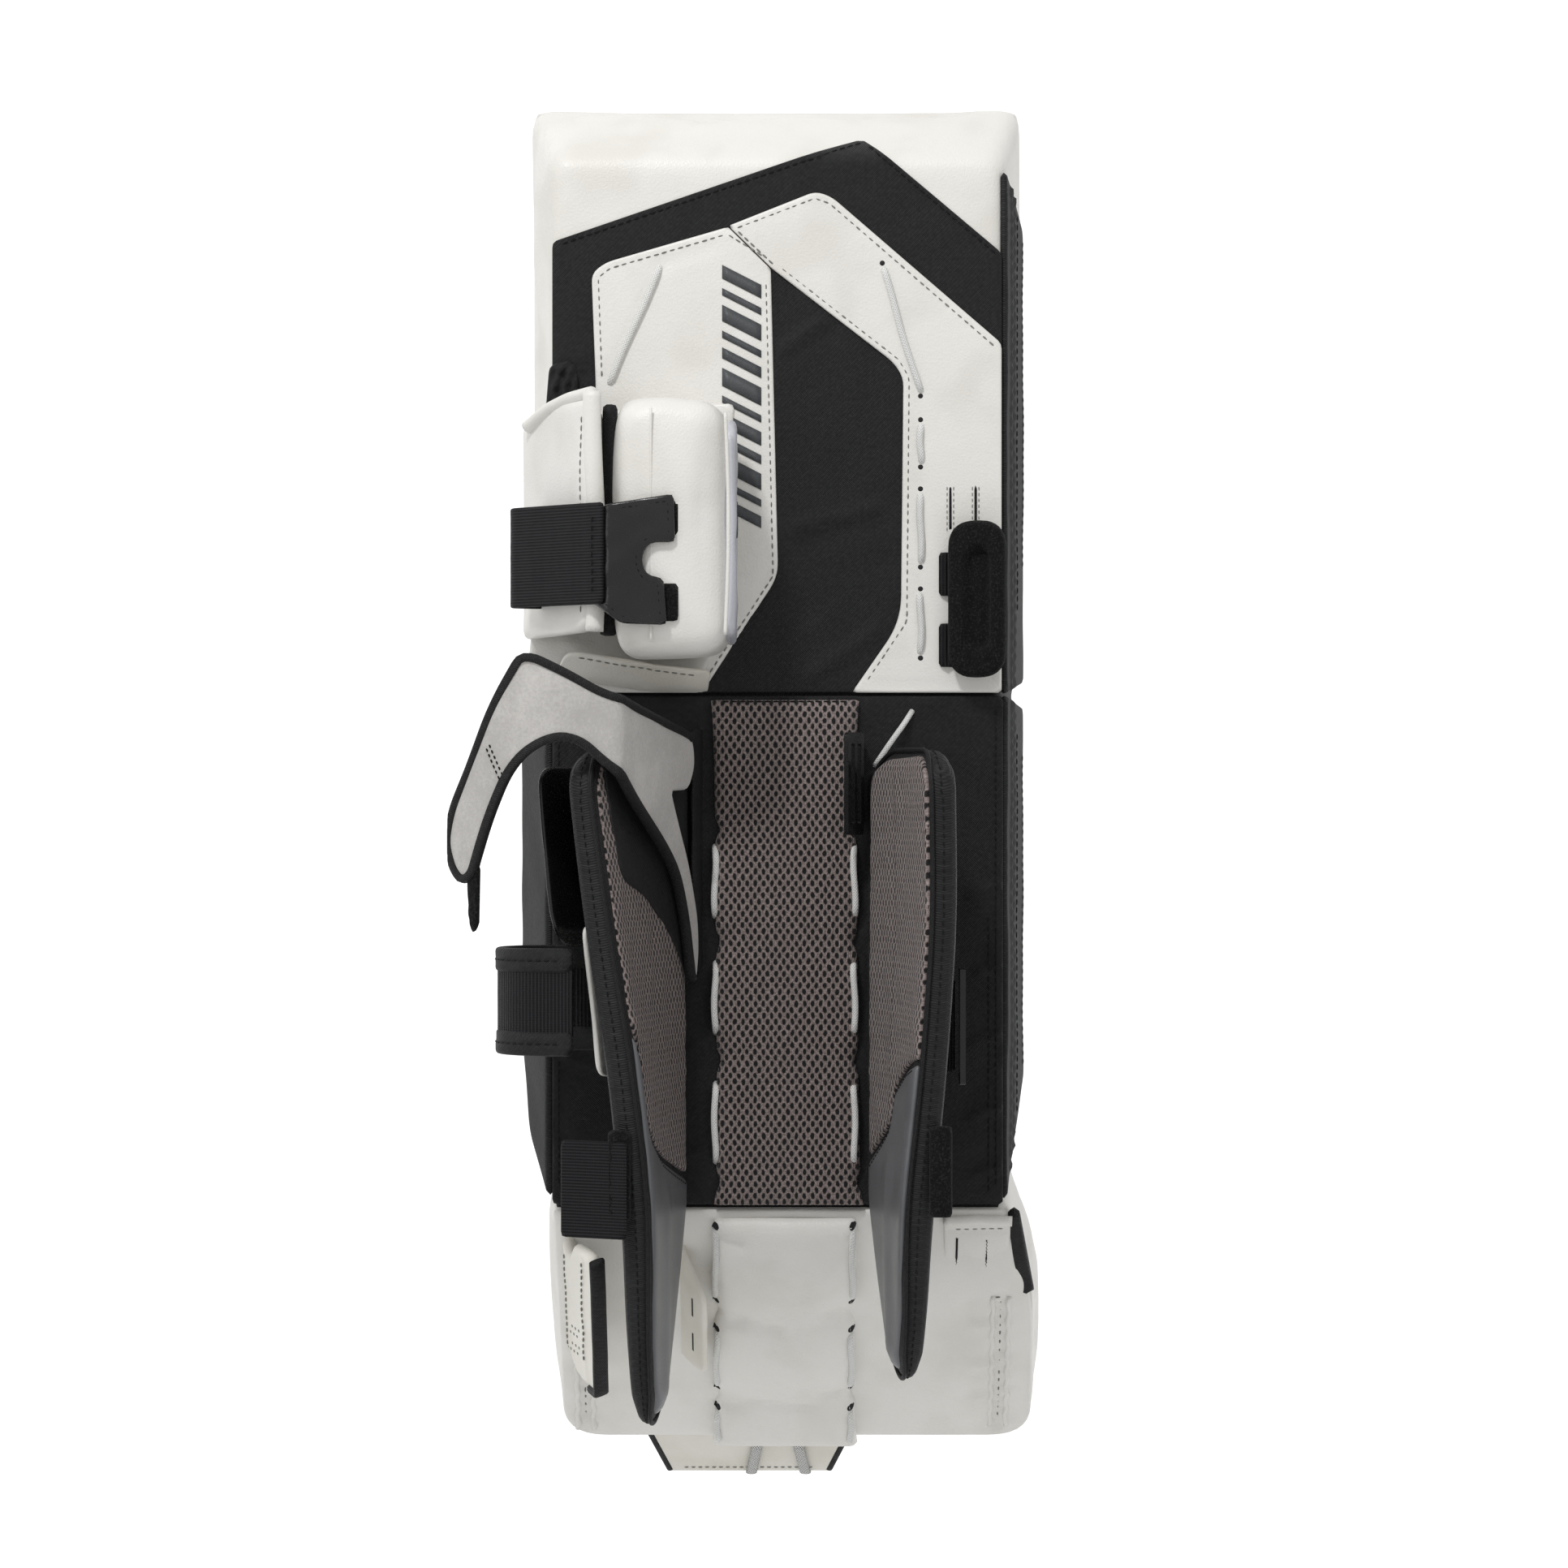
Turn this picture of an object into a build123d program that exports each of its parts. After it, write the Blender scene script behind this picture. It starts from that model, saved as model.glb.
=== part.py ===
"""Ice hockey goalie leg pad for the right leg, upright as worn, in millimetres.

+Z runs up the shin, -Y faces the goalie's leg and +X is the outer side of the leg.
The origin is the centre of the shin cradle's flat face, where the shin guard rests.
The foam body is three sections, thigh rise, shin and boot, that flex at the knee break
and the boot break. Padded wraps, straps and tabs stand on the leg side.
"""

import os
from math import cos, radians, sin, tan

from build123d import *

os.makedirs("parts", exist_ok=True)

# Foam body: the back is the leg side, the front is the blocking face.
BACK_Y = 8.0
FRONT_Y = 72.0
BACK_LEFT, BACK_RIGHT = -128.0, 121.0
FRONT_LEFT, FRONT_RIGHT = -145.0, 135.0
SKIN = 2.0
KNEE_Z = 140.0
BREAK_Z = -142.0
TOP_BACK_Z, TOP_FRONT_Z = 436.0, 476.0
KNEE_NOTCH = 6.0
BOOT_NOTCH = 12.0
GAP = 0.3

# Boot section, built along its own tilted plane.
BOOT_TILT = 36.0
BOOT_LENGTH = 174.0
BOOT_DEPTH = 56.0

# Layers sewn on the thigh's leg side.
NYLON = 1.0
LEATHER = 1.2
YOKE_BACK_Y = BACK_Y - NYLON
YOKE_FACE_Y = YOKE_BACK_Y - LEATHER

# Lacing cord.
LACE_R = 1.4
LACE_BEND = 1.7
LACE_DEPTH = 6.0

# Calf wraps: hinge lines beside the cradle, layer thickness and the padding's half thickness.
LEFT_ROOT_X, RIGHT_ROOT_X = -62.0, 55.0
ROOT_Y = -2.0
LAYER = 1.5
PADDING = 8.0

BACK = Plane(origin=(0, BACK_Y, 0), x_dir=(1, 0, 0), z_dir=(0, -1, 0))
BOOT = Plane(
    origin=(0, BACK_Y, BREAK_Z),
    x_dir=(1, 0, 0),
    z_dir=(0, -cos(radians(BOOT_TILT)), -sin(radians(BOOT_TILT))),
)


def save(part, name):
    """Labels a finished piece and writes its STEP file."""
    part.label = name
    export_step(part, f"parts/{name}.step")


def side_x(y, back, front):
    """X of a slanted side of the body at depth y."""
    return back + (front - back) * (y - BACK_Y) / (FRONT_Y - BACK_Y)


def body_outline(y0, y1, inset):
    """Corners of the body's cross-section between two depths, taken in by inset at each side."""
    left = [side_x(y, BACK_LEFT, FRONT_LEFT) + inset for y in (y0, y1)]
    right = [side_x(y, BACK_RIGHT, FRONT_RIGHT) - inset for y in (y0, y1)]
    return [(left[0], y0), (right[0], y0), (right[1], y1), (left[1], y1)]


def prism(cross, side, low=-200, high=500):
    """A solid with a cross-section in XY and a side profile in YZ."""
    with BuildPart() as made:
        with BuildSketch(Plane.XY.offset(low)):
            with BuildLine():
                Polyline(*cross, close=True)
            make_face()
        extrude(amount=high - low)
        with BuildSketch(Plane.YZ):
            with BuildLine():
                Polyline(*side, close=True)
            make_face()
        extrude(amount=200, both=True, mode=Mode.INTERSECT)
    return made.part


def plate(plane, corners, low, high):
    """A flat plate with a straight-sided outline, between two heights above a plane."""
    with BuildPart() as made:
        with BuildSketch(plane.offset(low)):
            with BuildLine():
                Polyline(*corners, close=True)
            make_face()
        extrude(amount=high - low)
    return made.part


def notch_z(y, hinge_z, degrees):
    """Height at depth y of a plane through a hinge line at the back surface."""
    return hinge_z + (y - BACK_Y) * tan(radians(degrees))


def thigh_side(y0, y1, top_inset):
    """Side profile of the thigh rise, which slopes up to the front at its top."""
    slope = (TOP_FRONT_Z - TOP_BACK_Z) / (FRONT_Y - BACK_Y)
    tops = [TOP_BACK_Z + slope * (y - BACK_Y) - top_inset for y in (y0, y1)]
    feet = [notch_z(y, KNEE_Z, KNEE_NOTCH) + GAP for y in (y0, y1)]
    return [(y0, feet[0]), (y1, feet[1]), (y1, tops[1]), (y0, tops[0])]


def shin_side(y0, y1):
    """Side profile of the shin, cut back at both breaks to let its neighbours flex."""
    tops = [notch_z(y, KNEE_Z, -KNEE_NOTCH) - GAP for y in (y0, y1)]
    feet = [notch_z(y, BREAK_Z, BOOT_TILT + BOOT_NOTCH) + GAP for y in (y0, y1)]
    return [(y0, feet[0]), (y1, feet[1]), (y1, tops[1]), (y0, tops[0])]


def lacing(plane, stitches, surface):
    """A cord that runs over a surface in each stitch and hides under it in between."""
    over, under = surface + LACE_R, surface - LACE_DEPTH
    points = []
    for start, end in stitches:
        points += [(*start, under), (*start, over), (*end, over), (*end, under)]
    spots = [plane.from_local_coords(Vector(*p)) for p in points]
    with BuildPart() as made:
        with BuildLine() as route:
            FilletPolyline(*spots, radius=LACE_BEND)
        with BuildSketch(Plane(origin=route.line @ 0, z_dir=route.line % 0)):
            Circle(LACE_R)
        sweep()
    return made.part


def save_pierced(part, laces, name):
    """Saves a layer with the holes and channels that its lacing runs through."""
    save(part - laces, name)


def laced_pad(plane, half, low, high, height):
    """A foam pad and its cover, which ends in a thin flange for the lacing at each side."""
    middle = (low + high) / 2
    length = high - low
    with BuildPart() as foam:
        with BuildSketch(plane.offset(0)):
            with Locations((0, middle)):
                Rectangle(2 * (half - SKIN), length - 2 * SKIN)
        extrude(amount=height - SKIN)
    with BuildPart() as cover:
        with BuildSketch(plane.offset(0)):
            with Locations((0, middle)):
                Rectangle(2 * half, length)
        extrude(amount=height)
        rim = cover.edges().group_by(SortBy.LENGTH)[-1]
        far = [e for e in rim if abs(plane.to_local_coords(e.center()).Z - height) < 0.1]
        fillet(far, 4.5)
        with BuildSketch(plane.offset(0)):
            with Locations((0, middle)):
                Rectangle(2 * half + 13, length)
        extrude(amount=1.4)
        add(foam.part, mode=Mode.SUBTRACT)
    return foam.part, cover.part


# ---- Thigh rise ----

thigh_core = prism(body_outline(BACK_Y + SKIN, FRONT_Y - SKIN, SKIN),
                   thigh_side(BACK_Y + SKIN, FRONT_Y - SKIN, SKIN))
thigh_outer = prism(body_outline(BACK_Y + SKIN, FRONT_Y, 0), thigh_side(BACK_Y + SKIN, FRONT_Y, 0))

STIFFENER_Y = 40.0
with BuildPart() as thigh_stiffener:
    with BuildSketch(Plane.XZ.offset(-STIFFENER_Y)):
        with Locations((-5, 292)):
            RectangleRounded(216, 262, 18)
    extrude(amount=-SKIN)
save(thigh_stiffener.part, "thigh_stiffener")

LEFT_STITCHES = [((-68, 376), (-96, 310))]
RIGHT_STITCHES = [((54, 375), (75, 306)), ((75, 289), (75, 267)), ((75, 251), (75, 212)),
                  ((75, 196), (75, 162))]
thigh_laces = Compound([lacing(BACK, rows, NYLON + LEATHER)
                        for rows in (LEFT_STITCHES, RIGHT_STITCHES)])
save(thigh_laces, "thigh_laces")
save_pierced(thigh_core - thigh_stiffener.part, thigh_laces, "thigh_foam")

with BuildPart() as thigh_face:
    add(thigh_outer)
    add(thigh_core, mode=Mode.SUBTRACT)
save(thigh_face.part, "thigh_face")

thigh_back = plate(BACK, [(BACK_LEFT, KNEE_Z + GAP), (BACK_RIGHT, KNEE_Z + GAP),
                          (BACK_RIGHT, TOP_BACK_Z), (BACK_LEFT, TOP_BACK_Z)], -SKIN, 0)
save_pierced(thigh_back, thigh_laces, "thigh_back_skin")

# The black nylon underlay shows as a chevron and as the panel inside the yoke.
PANEL_FOOT = KNEE_Z + 1
thigh_nylon = plate(BACK, [(-127, PANEL_FOOT), (119.5, PANEL_FOOT), (119.5, 382),
                           (43, 434), (-127, 387)], 0, NYLON)
save_pierced(thigh_nylon, thigh_laces, "thigh_nylon_panel")

YOKE_LEVELS = (NYLON, NYLON + LEATHER)
yoke_left = plate(BACK, [(-104, PANEL_FOOT), (-45, PANEL_FOOT), (-3, 205), (-7, 373.5),
                         (-31, 396.5), (-98, 377), (-105.5, 371)], *YOKE_LEVELS)
save_pierced(yoke_left, thigh_laces, "thigh_yoke_left")
yoke_right = plate(BACK, [(-30.5, 397), (-6.5, 374), (60, 322), (65.5, 314), (64, 180),
                          (37, PANEL_FOOT), (119.5, PANEL_FOOT), (119.5, 332), (28, 411.5),
                          (20.5, 416)], *YOKE_LEVELS)
save_pierced(yoke_right, thigh_laces, "thigh_yoke_right")

# ---- Front rolls ----

ROLL_R = 18.0
OUTER_ROLL_X, OUTER_ROLL_R = 112.0, 21.0


def cross_roll(z):
    """A half-round roll across the front face."""
    with BuildPart() as made:
        with BuildSketch(Plane.YZ.offset(-138)):
            with Locations((FRONT_Y, z)):
                Circle(ROLL_R)
            with Locations((FRONT_Y - ROLL_R, z)):
                Rectangle(2 * ROLL_R, 3 * ROLL_R, mode=Mode.SUBTRACT)
        extrude(amount=OUTER_ROLL_X - OUTER_ROLL_R - 1 + 138)
    return made.part


def outer_roll(side):
    """The half-round roll down the outer edge of the front face, trimmed by a side profile."""
    with BuildPart() as made:
        with BuildSketch(Plane.XY.offset(-200)):
            with Locations((OUTER_ROLL_X, FRONT_Y)):
                Circle(OUTER_ROLL_R)
            with Locations((OUTER_ROLL_X, FRONT_Y - OUTER_ROLL_R)):
                Rectangle(3 * OUTER_ROLL_R, 2 * OUTER_ROLL_R, mode=Mode.SUBTRACT)
        extrude(amount=700)
        with BuildSketch(Plane.YZ):
            with BuildLine():
                Polyline(*side, close=True)
            make_face()
        extrude(amount=200, both=True, mode=Mode.INTERSECT)
    return made.part


ROLL_FRONT_Y = FRONT_Y + OUTER_ROLL_R + 1
thigh_rolls = Compound([cross_roll(z) for z in (169, 206)])
save(thigh_rolls, "thigh_knee_rolls")
save(cross_roll(112), "shin_knee_roll")
save(outer_roll(thigh_side(FRONT_Y, ROLL_FRONT_Y, 22)), "thigh_outer_roll")
save(outer_roll(shin_side(FRONT_Y, ROLL_FRONT_Y)), "shin_outer_roll")


# ---- Black gusset along the outer side ----

GUSSET = 1.6


def gusset(side):
    """The woven strip down the body's outer side, trimmed by a side profile."""
    near, far = side_x(11, BACK_RIGHT, FRONT_RIGHT), side_x(68, BACK_RIGHT, FRONT_RIGHT)
    return prism([(near, 11), (near + GUSSET, 11), (far + GUSSET, 68), (far, 68)], side)


thigh_gusset = gusset([(11, 141), (68, 147.5), (68, 405), (11, 428)])
save(thigh_gusset, "thigh_gusset")
save(gusset(shin_side(11, 68)), "shin_gusset")

# ---- Shin ----

shin_core = prism(body_outline(BACK_Y + SKIN, FRONT_Y - SKIN, SKIN),
                  shin_side(BACK_Y + SKIN, FRONT_Y - SKIN))
shin_outer = prism(body_outline(BACK_Y + SKIN, FRONT_Y, 0), shin_side(BACK_Y + SKIN, FRONT_Y))

with BuildPart() as shin_stiffener:
    with BuildSketch(Plane.XZ.offset(-STIFFENER_Y)):
        with Locations((-5, 18)):
            RectangleRounded(216, 196, 18)
    extrude(amount=-SKIN)
save(shin_stiffener.part, "shin_stiffener")

LACE_X = 37.8
FLANGE = 1.4
BED_ROWS = [(118, 80), (57, 18), (-7, -46), (-74, -117)]
shin_laces = Compound([lacing(BACK, [((x, top), (x, low)) for top, low in BED_ROWS], FLANGE)
                       for x in (-LACE_X, LACE_X)])
save(shin_laces, "shin_laces")
save_pierced(shin_core - shin_stiffener.part, shin_laces, "shin_foam")

with BuildPart() as shin_face:
    add(shin_outer)
    add(shin_core, mode=Mode.SUBTRACT)
save(shin_face.part, "shin_face")

shin_back = plate(BACK, [(BACK_LEFT, BREAK_Z + SKIN + 1), (BACK_RIGHT, BREAK_Z + SKIN + 1),
                         (BACK_RIGHT, KNEE_Z - GAP), (BACK_LEFT, KNEE_Z - GAP)], -SKIN, 0)
save_pierced(shin_back, shin_laces, "shin_back_skin")

BED_HALF, BED_LOW, BED_HIGH = 35.5, -138.0, 138.0
bed_foam, bed_mesh = laced_pad(BACK, BED_HALF, BED_LOW, BED_HIGH, BACK_Y)
save(bed_foam, "shin_bed_foam")
save_pierced(bed_mesh, shin_laces, "shin_bed_mesh")

# ---- Boot ----

BOOT_CORNER = 26.0


def boot_slab(inset, low, high):
    """The boot's plan between two heights above its back surface, taken in by inset."""
    corners = [(BACK_LEFT + inset, -0.4 - inset), (124 - inset, -0.4 - inset),
               (141 - inset, -62), (143 - inset, inset - BOOT_LENGTH),
               (inset - 127, inset - BOOT_LENGTH)]
    with BuildPart() as made:
        with BuildSketch(BOOT.offset(low)) as plan:
            with BuildLine():
                Polyline(*corners, close=True)
            make_face()
            fillet(plan.vertices().sort_by(Axis.Y)[:2], BOOT_CORNER - inset)
        extrude(amount=high - low)
    return made.part


BOOT_ROWS = [(-9, -58), (-83, -125), (-144, -162)]
boot_laces = Compound([lacing(BOOT, [((x, top), (x, low)) for top, low in BOOT_ROWS], FLANGE)
                       for x in (-LACE_X, LACE_X)])
save(boot_laces, "boot_laces")

boot_foam = boot_slab(SKIN, SKIN - BOOT_DEPTH, -SKIN)
save_pierced(boot_foam, boot_laces, "boot_foam")
with BuildPart() as boot_face:
    add(boot_slab(0, -BOOT_DEPTH, -SKIN))
    add(boot_foam, mode=Mode.SUBTRACT)
save(boot_face.part, "boot_face")
save_pierced(boot_slab(0, -SKIN, 0), boot_laces, "boot_back_skin")

BOOT_PAD_HEIGHT = 11.0
boot_pad_foam, boot_pad_cover = laced_pad(BOOT, BED_HALF, -170, -5, BOOT_PAD_HEIGHT)
save(boot_pad_foam, "boot_pad_foam")
save_pierced(boot_pad_cover, boot_laces, "boot_pad_cover")

# ---- Boot tabs and ankle wing, in the boot's own plane ----


def leaning_flap(root, tip, outline, thickness):
    """A flap that stands on the boot, from a root line (x, height) to a tip line, with its
    outline given along the boot at the root and at the tip."""
    run, rise = tip[0] - root[0], tip[1] - root[1]
    reach = (run**2 + rise**2) ** 0.5
    start = BOOT.from_local_coords(Vector(root[0], 0, root[1]))
    across = BOOT.from_local_coords(Vector(tip[0], 0, tip[1])) - start
    along = BOOT.from_local_coords(Vector(0, 1, 0)) - BOOT.origin
    flap = Plane(origin=start, x_dir=across, z_dir=across.cross(along))
    (root_low, root_high), (tip_low, tip_high) = outline
    corners = [(0, root_low), (reach, tip_low), (reach, tip_high), (0, root_high)]
    with BuildPart() as made:
        with BuildSketch(flap.offset(-thickness / 2)):
            with BuildLine():
                Polyline(*corners, close=True)
            make_face()
        extrude(amount=thickness)
        fillet(made.edges().filter_by(Axis(start, flap.z_dir)).sort_by(Axis.Y)[:2], 8)
    return made.part


ankle_wing = leaning_flap((-120, 5), (-98, 46), ((-112, -16), (-88, 6)), 7)
save(ankle_wing, "ankle_wing")
inner_tab = leaning_flap((-57, 3), (-46, 30), ((-106, -22), (-98, -40)), 3)
save(inner_tab, "boot_tab_inner")

with BuildPart() as outer_tab:
    with BuildSketch(BOOT.offset(0.5)):
        with Locations((106, -37)):
            Rectangle(38, 62)
    extrude(amount=3.5)
    fillet(outer_tab.edges().filter_by(Axis(BOOT.origin, BOOT.z_dir)), 3)
save(outer_tab.part, "boot_tab_outer")

# ---- Toe bridge ----

BRIDGE_TILT = 50.0
BRIDGE_THICK = 3.0
HOLE_R = 2.4
HOLE_Y = -14.0
HOLES_X = (-37.4, -15.4, 8.4)
BRIDGE_FOOT = -45.0
BRIDGE = Plane(
    origin=BOOT.from_local_coords(Vector(0, -BOOT_LENGTH - 1.2, -6)),
    x_dir=(1, 0, 0),
    z_dir=(0, -cos(radians(BRIDGE_TILT)), -sin(radians(BRIDGE_TILT))),
)
with BuildPart() as toe_bridge:
    with BuildSketch(BRIDGE):
        with BuildLine():
            Polyline((-78, 0), (38, 0), (26, BRIDGE_FOOT), (-66, BRIDGE_FOOT), close=True)
        make_face()
        with Locations(*[(x, HOLE_Y) for x in HOLES_X]):
            Circle(HOLE_R, mode=Mode.SUBTRACT)
    extrude(amount=-BRIDGE_THICK)
save(toe_bridge.part, "toe_bridge")

TOE_LACE_R = 1.0
LACE_OUT = TOE_LACE_R + 0.2
LACE_IN = -BRIDGE_THICK - LACE_OUT


def toe_loop(x):
    """One turn of the toe lace, through a hole and round the bridge's lower edge."""
    foot = BRIDGE_FOOT - LACE_OUT
    corners = [(HOLE_Y, LACE_OUT), (foot, LACE_OUT), (foot, LACE_IN), (HOLE_Y, LACE_IN)]
    spots = [BRIDGE.from_local_coords(Vector(x, y, z)) for y, z in corners]
    with BuildPart() as made:
        with BuildLine() as route:
            FilletPolyline(*spots, radius=1.1, close=True)
        with BuildSketch(Plane(origin=route.line @ 0, z_dir=route.line % 0)):
            Circle(TOE_LACE_R)
        sweep()
    return made.part


KNOT_R = 3.2
knot_at = BRIDGE.from_local_coords(Vector(HOLES_X[1] - 2, -30, LACE_IN - 2 * TOE_LACE_R - 0.1))
KNOT_SPAN = HOLES_X[2] - HOLES_X[1] + 4
with BuildPart() as toe_knot:
    with BuildSketch(Plane(origin=knot_at, x_dir=(0, 1, 0), z_dir=(1, 0, 0))):
        Circle(TOE_LACE_R)
    extrude(amount=KNOT_SPAN)
    with Locations(knot_at + Vector(KNOT_SPAN / 2, 0, 0)):
        Sphere(KNOT_R)
save(Compound([toe_loop(HOLES_X[1]), toe_loop(HOLES_X[2]), toe_knot.part]), "toe_lace")

# ---- Calf wraps ----

# Stations up each wrap: height, distance of the inner and outer edge from the hinge line,
# flare from straight back in degrees, and half thickness.
LEFT_STATIONS = [(108, 24, 92, 26, 5), (98, 2, 108, 25.5, PADDING), (20, 0, 112, 19, PADDING),
                 (-60, 0, 112, 12, PADDING), (BREAK_Z + 4, 0, 108, 8, PADDING),
                 (-190, 16, 100, 8, PADDING), (-234, 34, 80, 8, 6), (-250, 48, 66, 8, 3)]
RIGHT_STATIONS = [(108, 24, 92, 15, 5), (98, 2, 108, 15, PADDING), (20, 0, 112, 15, PADDING),
                  (-60, 0, 112, 12, PADDING), (BREAK_Z + 4, 0, 106, 8, PADDING),
                  (-180, 16, 96, 8, PADDING), (-212, 34, 78, 8, 6), (-226, 46, 66, 8, 3)]


def wrap_point(side, s, w, flare):
    """XY of a point s out from a hinge line and w to the wrap's outer side."""
    root = RIGHT_ROOT_X if side > 0 else LEFT_ROOT_X
    a = radians(flare)
    return (root + side * (s * sin(a) + w * cos(a)), ROOT_Y - s * cos(a) + w * sin(a))


def wrap_layer(side, stations, corners):
    """One layer of a wrap: corners(s0, s1, half) gives its (s, w) corners at each station."""
    with BuildPart() as made:
        for z, s0, s1, flare, half in stations:
            with BuildSketch(Plane.XY.offset(z)):
                with BuildLine():
                    spots = [wrap_point(side, s, w, flare) for s, w in corners(s0, s1, half)]
                    Polyline(*spots, close=True)
                make_face()
        loft(ruled=True)
    return made.part


def padding(s0, s1, half):
    return [(s0, -half), (s1, -half), (s1, half), (s0, half)]


def cover(s0, s1, half):
    return [(s0, half), (s1, half), (s1, half + LAYER), (s0, half + LAYER)]


def liner(s0, s1, half):
    return [(s0, -half - LAYER), (s1, -half - LAYER), (s1, -half), (s0, -half)]


def binding(s0, s1, half):
    return [(s1, -half - LAYER), (s1 + 2, -half - LAYER), (s1 + 2, half + LAYER), (s1, half + LAYER)]


def make_wrap(side, stations, name, seam_root_z, seam_edge_z):
    """All layers of one wrap. Its inner face is mesh above a slanted seam and leather below."""
    save(wrap_layer(side, stations, padding), f"{name}_foam")
    save(wrap_layer(side, stations, cover), f"{name}_cover")
    save(wrap_layer(side, stations, binding), f"{name}_binding")
    seam = Plane(origin=(0, -10, seam_root_z), x_dir=(1, 0, 0),
                 z_dir=(0, seam_edge_z - seam_root_z, 95))
    for keep, label in ((Keep.TOP, "mesh"), (Keep.BOTTOM, "guard")):
        with BuildPart() as made:
            add(wrap_layer(side, stations, liner))
            split(bisect_by=seam, keep=keep)
        save(made.part, f"{name}_{label}")


make_wrap(-1, LEFT_STATIONS, "left_wrap", -128, -38)
make_wrap(1, RIGHT_STATIONS, "right_wrap", -115, -60)

# The left wrap's outer flap opens away from its cover.
FLAP_STATIONS = [(100, 20, 92, 25.5, PADDING), (20, 15, 92, 19, PADDING), (6, 30, 84, 18, PADDING)]


def outer_flap(s0, s1, half):
    foot = half + LAYER + 0.1
    return [(s0, foot), (s1, foot + 20), (s1, foot + 22.5), (s0, foot + 2.5)]


save(wrap_layer(-1, FLAP_STATIONS, outer_flap), "left_wrap_flap")

# ---- Knee wrap: a suede band inside the left wrap, and its free end over the wrap's top ----

BAND_THICK = 4.0
BAND_FLARE = 22.0
BAND_W = -(PADDING + LAYER + 3)
band_root = wrap_point(-1, 0, BAND_W, BAND_FLARE)
band_dir = Vector(-sin(radians(BAND_FLARE)), -cos(radians(BAND_FLARE)), 0)
with BuildPart() as knee_band:
    with BuildSketch(Plane(origin=(*band_root, 0), x_dir=band_dir, z_dir=band_dir.cross(Vector(0, 0, 1)))):
        with BuildLine():
            Polyline((3, -15), (12, -15), (29, 48), (66, 82), (84, 106), (104, 110),
                     (104, 146), (84, 136), (40, 122), (3, 114), close=True)
        make_face()
    extrude(amount=-BAND_THICK)
save(knee_band.part, "knee_wrap_band")

with BuildPart() as knee_flap:
    with BuildSketch(Plane.XY.offset(30)):
        with BuildLine():
            FilletPolyline((-93, -104.5), (-122, -110), (-152, -101), (-176, -80), radius=18)
            offset(amount=BAND_THICK / 2)
        make_face()
    extrude(amount=130)
    with BuildSketch(Plane.XZ.offset(60)):
        with BuildLine():
            Polyline((-93.5, 140), (-118, 154), (-133, 154), (-139, 148), (-154, 123),
                     (-167, 93), (-173, 55), (-170, 41), (-163, 40), (-151, 81), (-139, 104),
                     (-130, 113), (-117, 117), (-104, 117), (-93.5, 110), close=True)
        make_face()
    extrude(amount=60, mode=Mode.INTERSECT)
save(knee_flap.part, "knee_wrap_flap")


# ---- Straps on the left wrap ----


def ribbon(points, low, high, thickness, bend=5):
    """A strap on edge: a bent strip that follows points in plan, between two heights."""
    with BuildPart() as made:
        with BuildSketch(Plane.XY.offset(low)):
            with BuildLine():
                if len(points) == 2:
                    Line(*points)
                else:
                    FilletPolyline(*points, radius=bend)
                offset(amount=thickness / 2)
            make_face()
        extrude(amount=high - low)
    return made.part


calf_strap = ribbon([(-83.6, -33), (-140, -38), (-155, -62), (-142, -84), (-111, -93)],
                    -52, 3, 3, 12)
save(calf_strap, "upper_calf_strap")
save(ribbon([(-82, -118), (-117, -101)], -147, -96, 2.5), "lower_calf_strap")

# ---- Knee cradle: the block that the knee lands on, its wing and its base ----

CRADLE_LOW, CRADLE_HIGH = 166.0, 300.0
BLOCK_LEFT, BLOCK_RIGHT = -91.0, -27.0
BLOCK_BACK, BLOCK_FRONT = 3.6, -80.0
BLOCK_LOW = 157.0
block_mid = ((BLOCK_LEFT + BLOCK_RIGHT) / 2, (BLOCK_BACK + BLOCK_FRONT) / 2,
             (BLOCK_LOW + CRADLE_HIGH) / 2)
block_size = (BLOCK_RIGHT - BLOCK_LEFT, BLOCK_BACK - BLOCK_FRONT, CRADLE_HIGH - BLOCK_LOW)
with BuildPart() as block_foam:
    with Locations((block_mid[0], block_mid[1] + SKIN / 2, block_mid[2])):
        Box(block_size[0] - 2 * SKIN, block_size[1] - SKIN, block_size[2] - 2 * SKIN)
    fillet(block_foam.faces().sort_by(Axis.Y)[0].edges(), 8)
save(block_foam.part, "knee_block_foam")
with BuildPart() as block_cover:
    with Locations(block_mid):
        Box(*block_size)
    fillet(block_cover.faces().sort_by(Axis.Y)[0].edges(), 10)
    add(block_foam.part, mode=Mode.SUBTRACT)
save(block_cover.part, "knee_block_cover")

cradle_base = plate(Plane(origin=(0, 5.2, 0), x_dir=(1, 0, 0), z_dir=(0, -1, 0)),
                    [(-126, 150), (-60, 146), (-42, 152), (-27, 300), (-126, 292)], 0, 1.6)
save(cradle_base, "knee_cradle_base")
WING_THICK = 9.0
save(ribbon([(-131, -1), (-100, -68)], CRADLE_LOW, 296, WING_THICK), "knee_wing")

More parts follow.
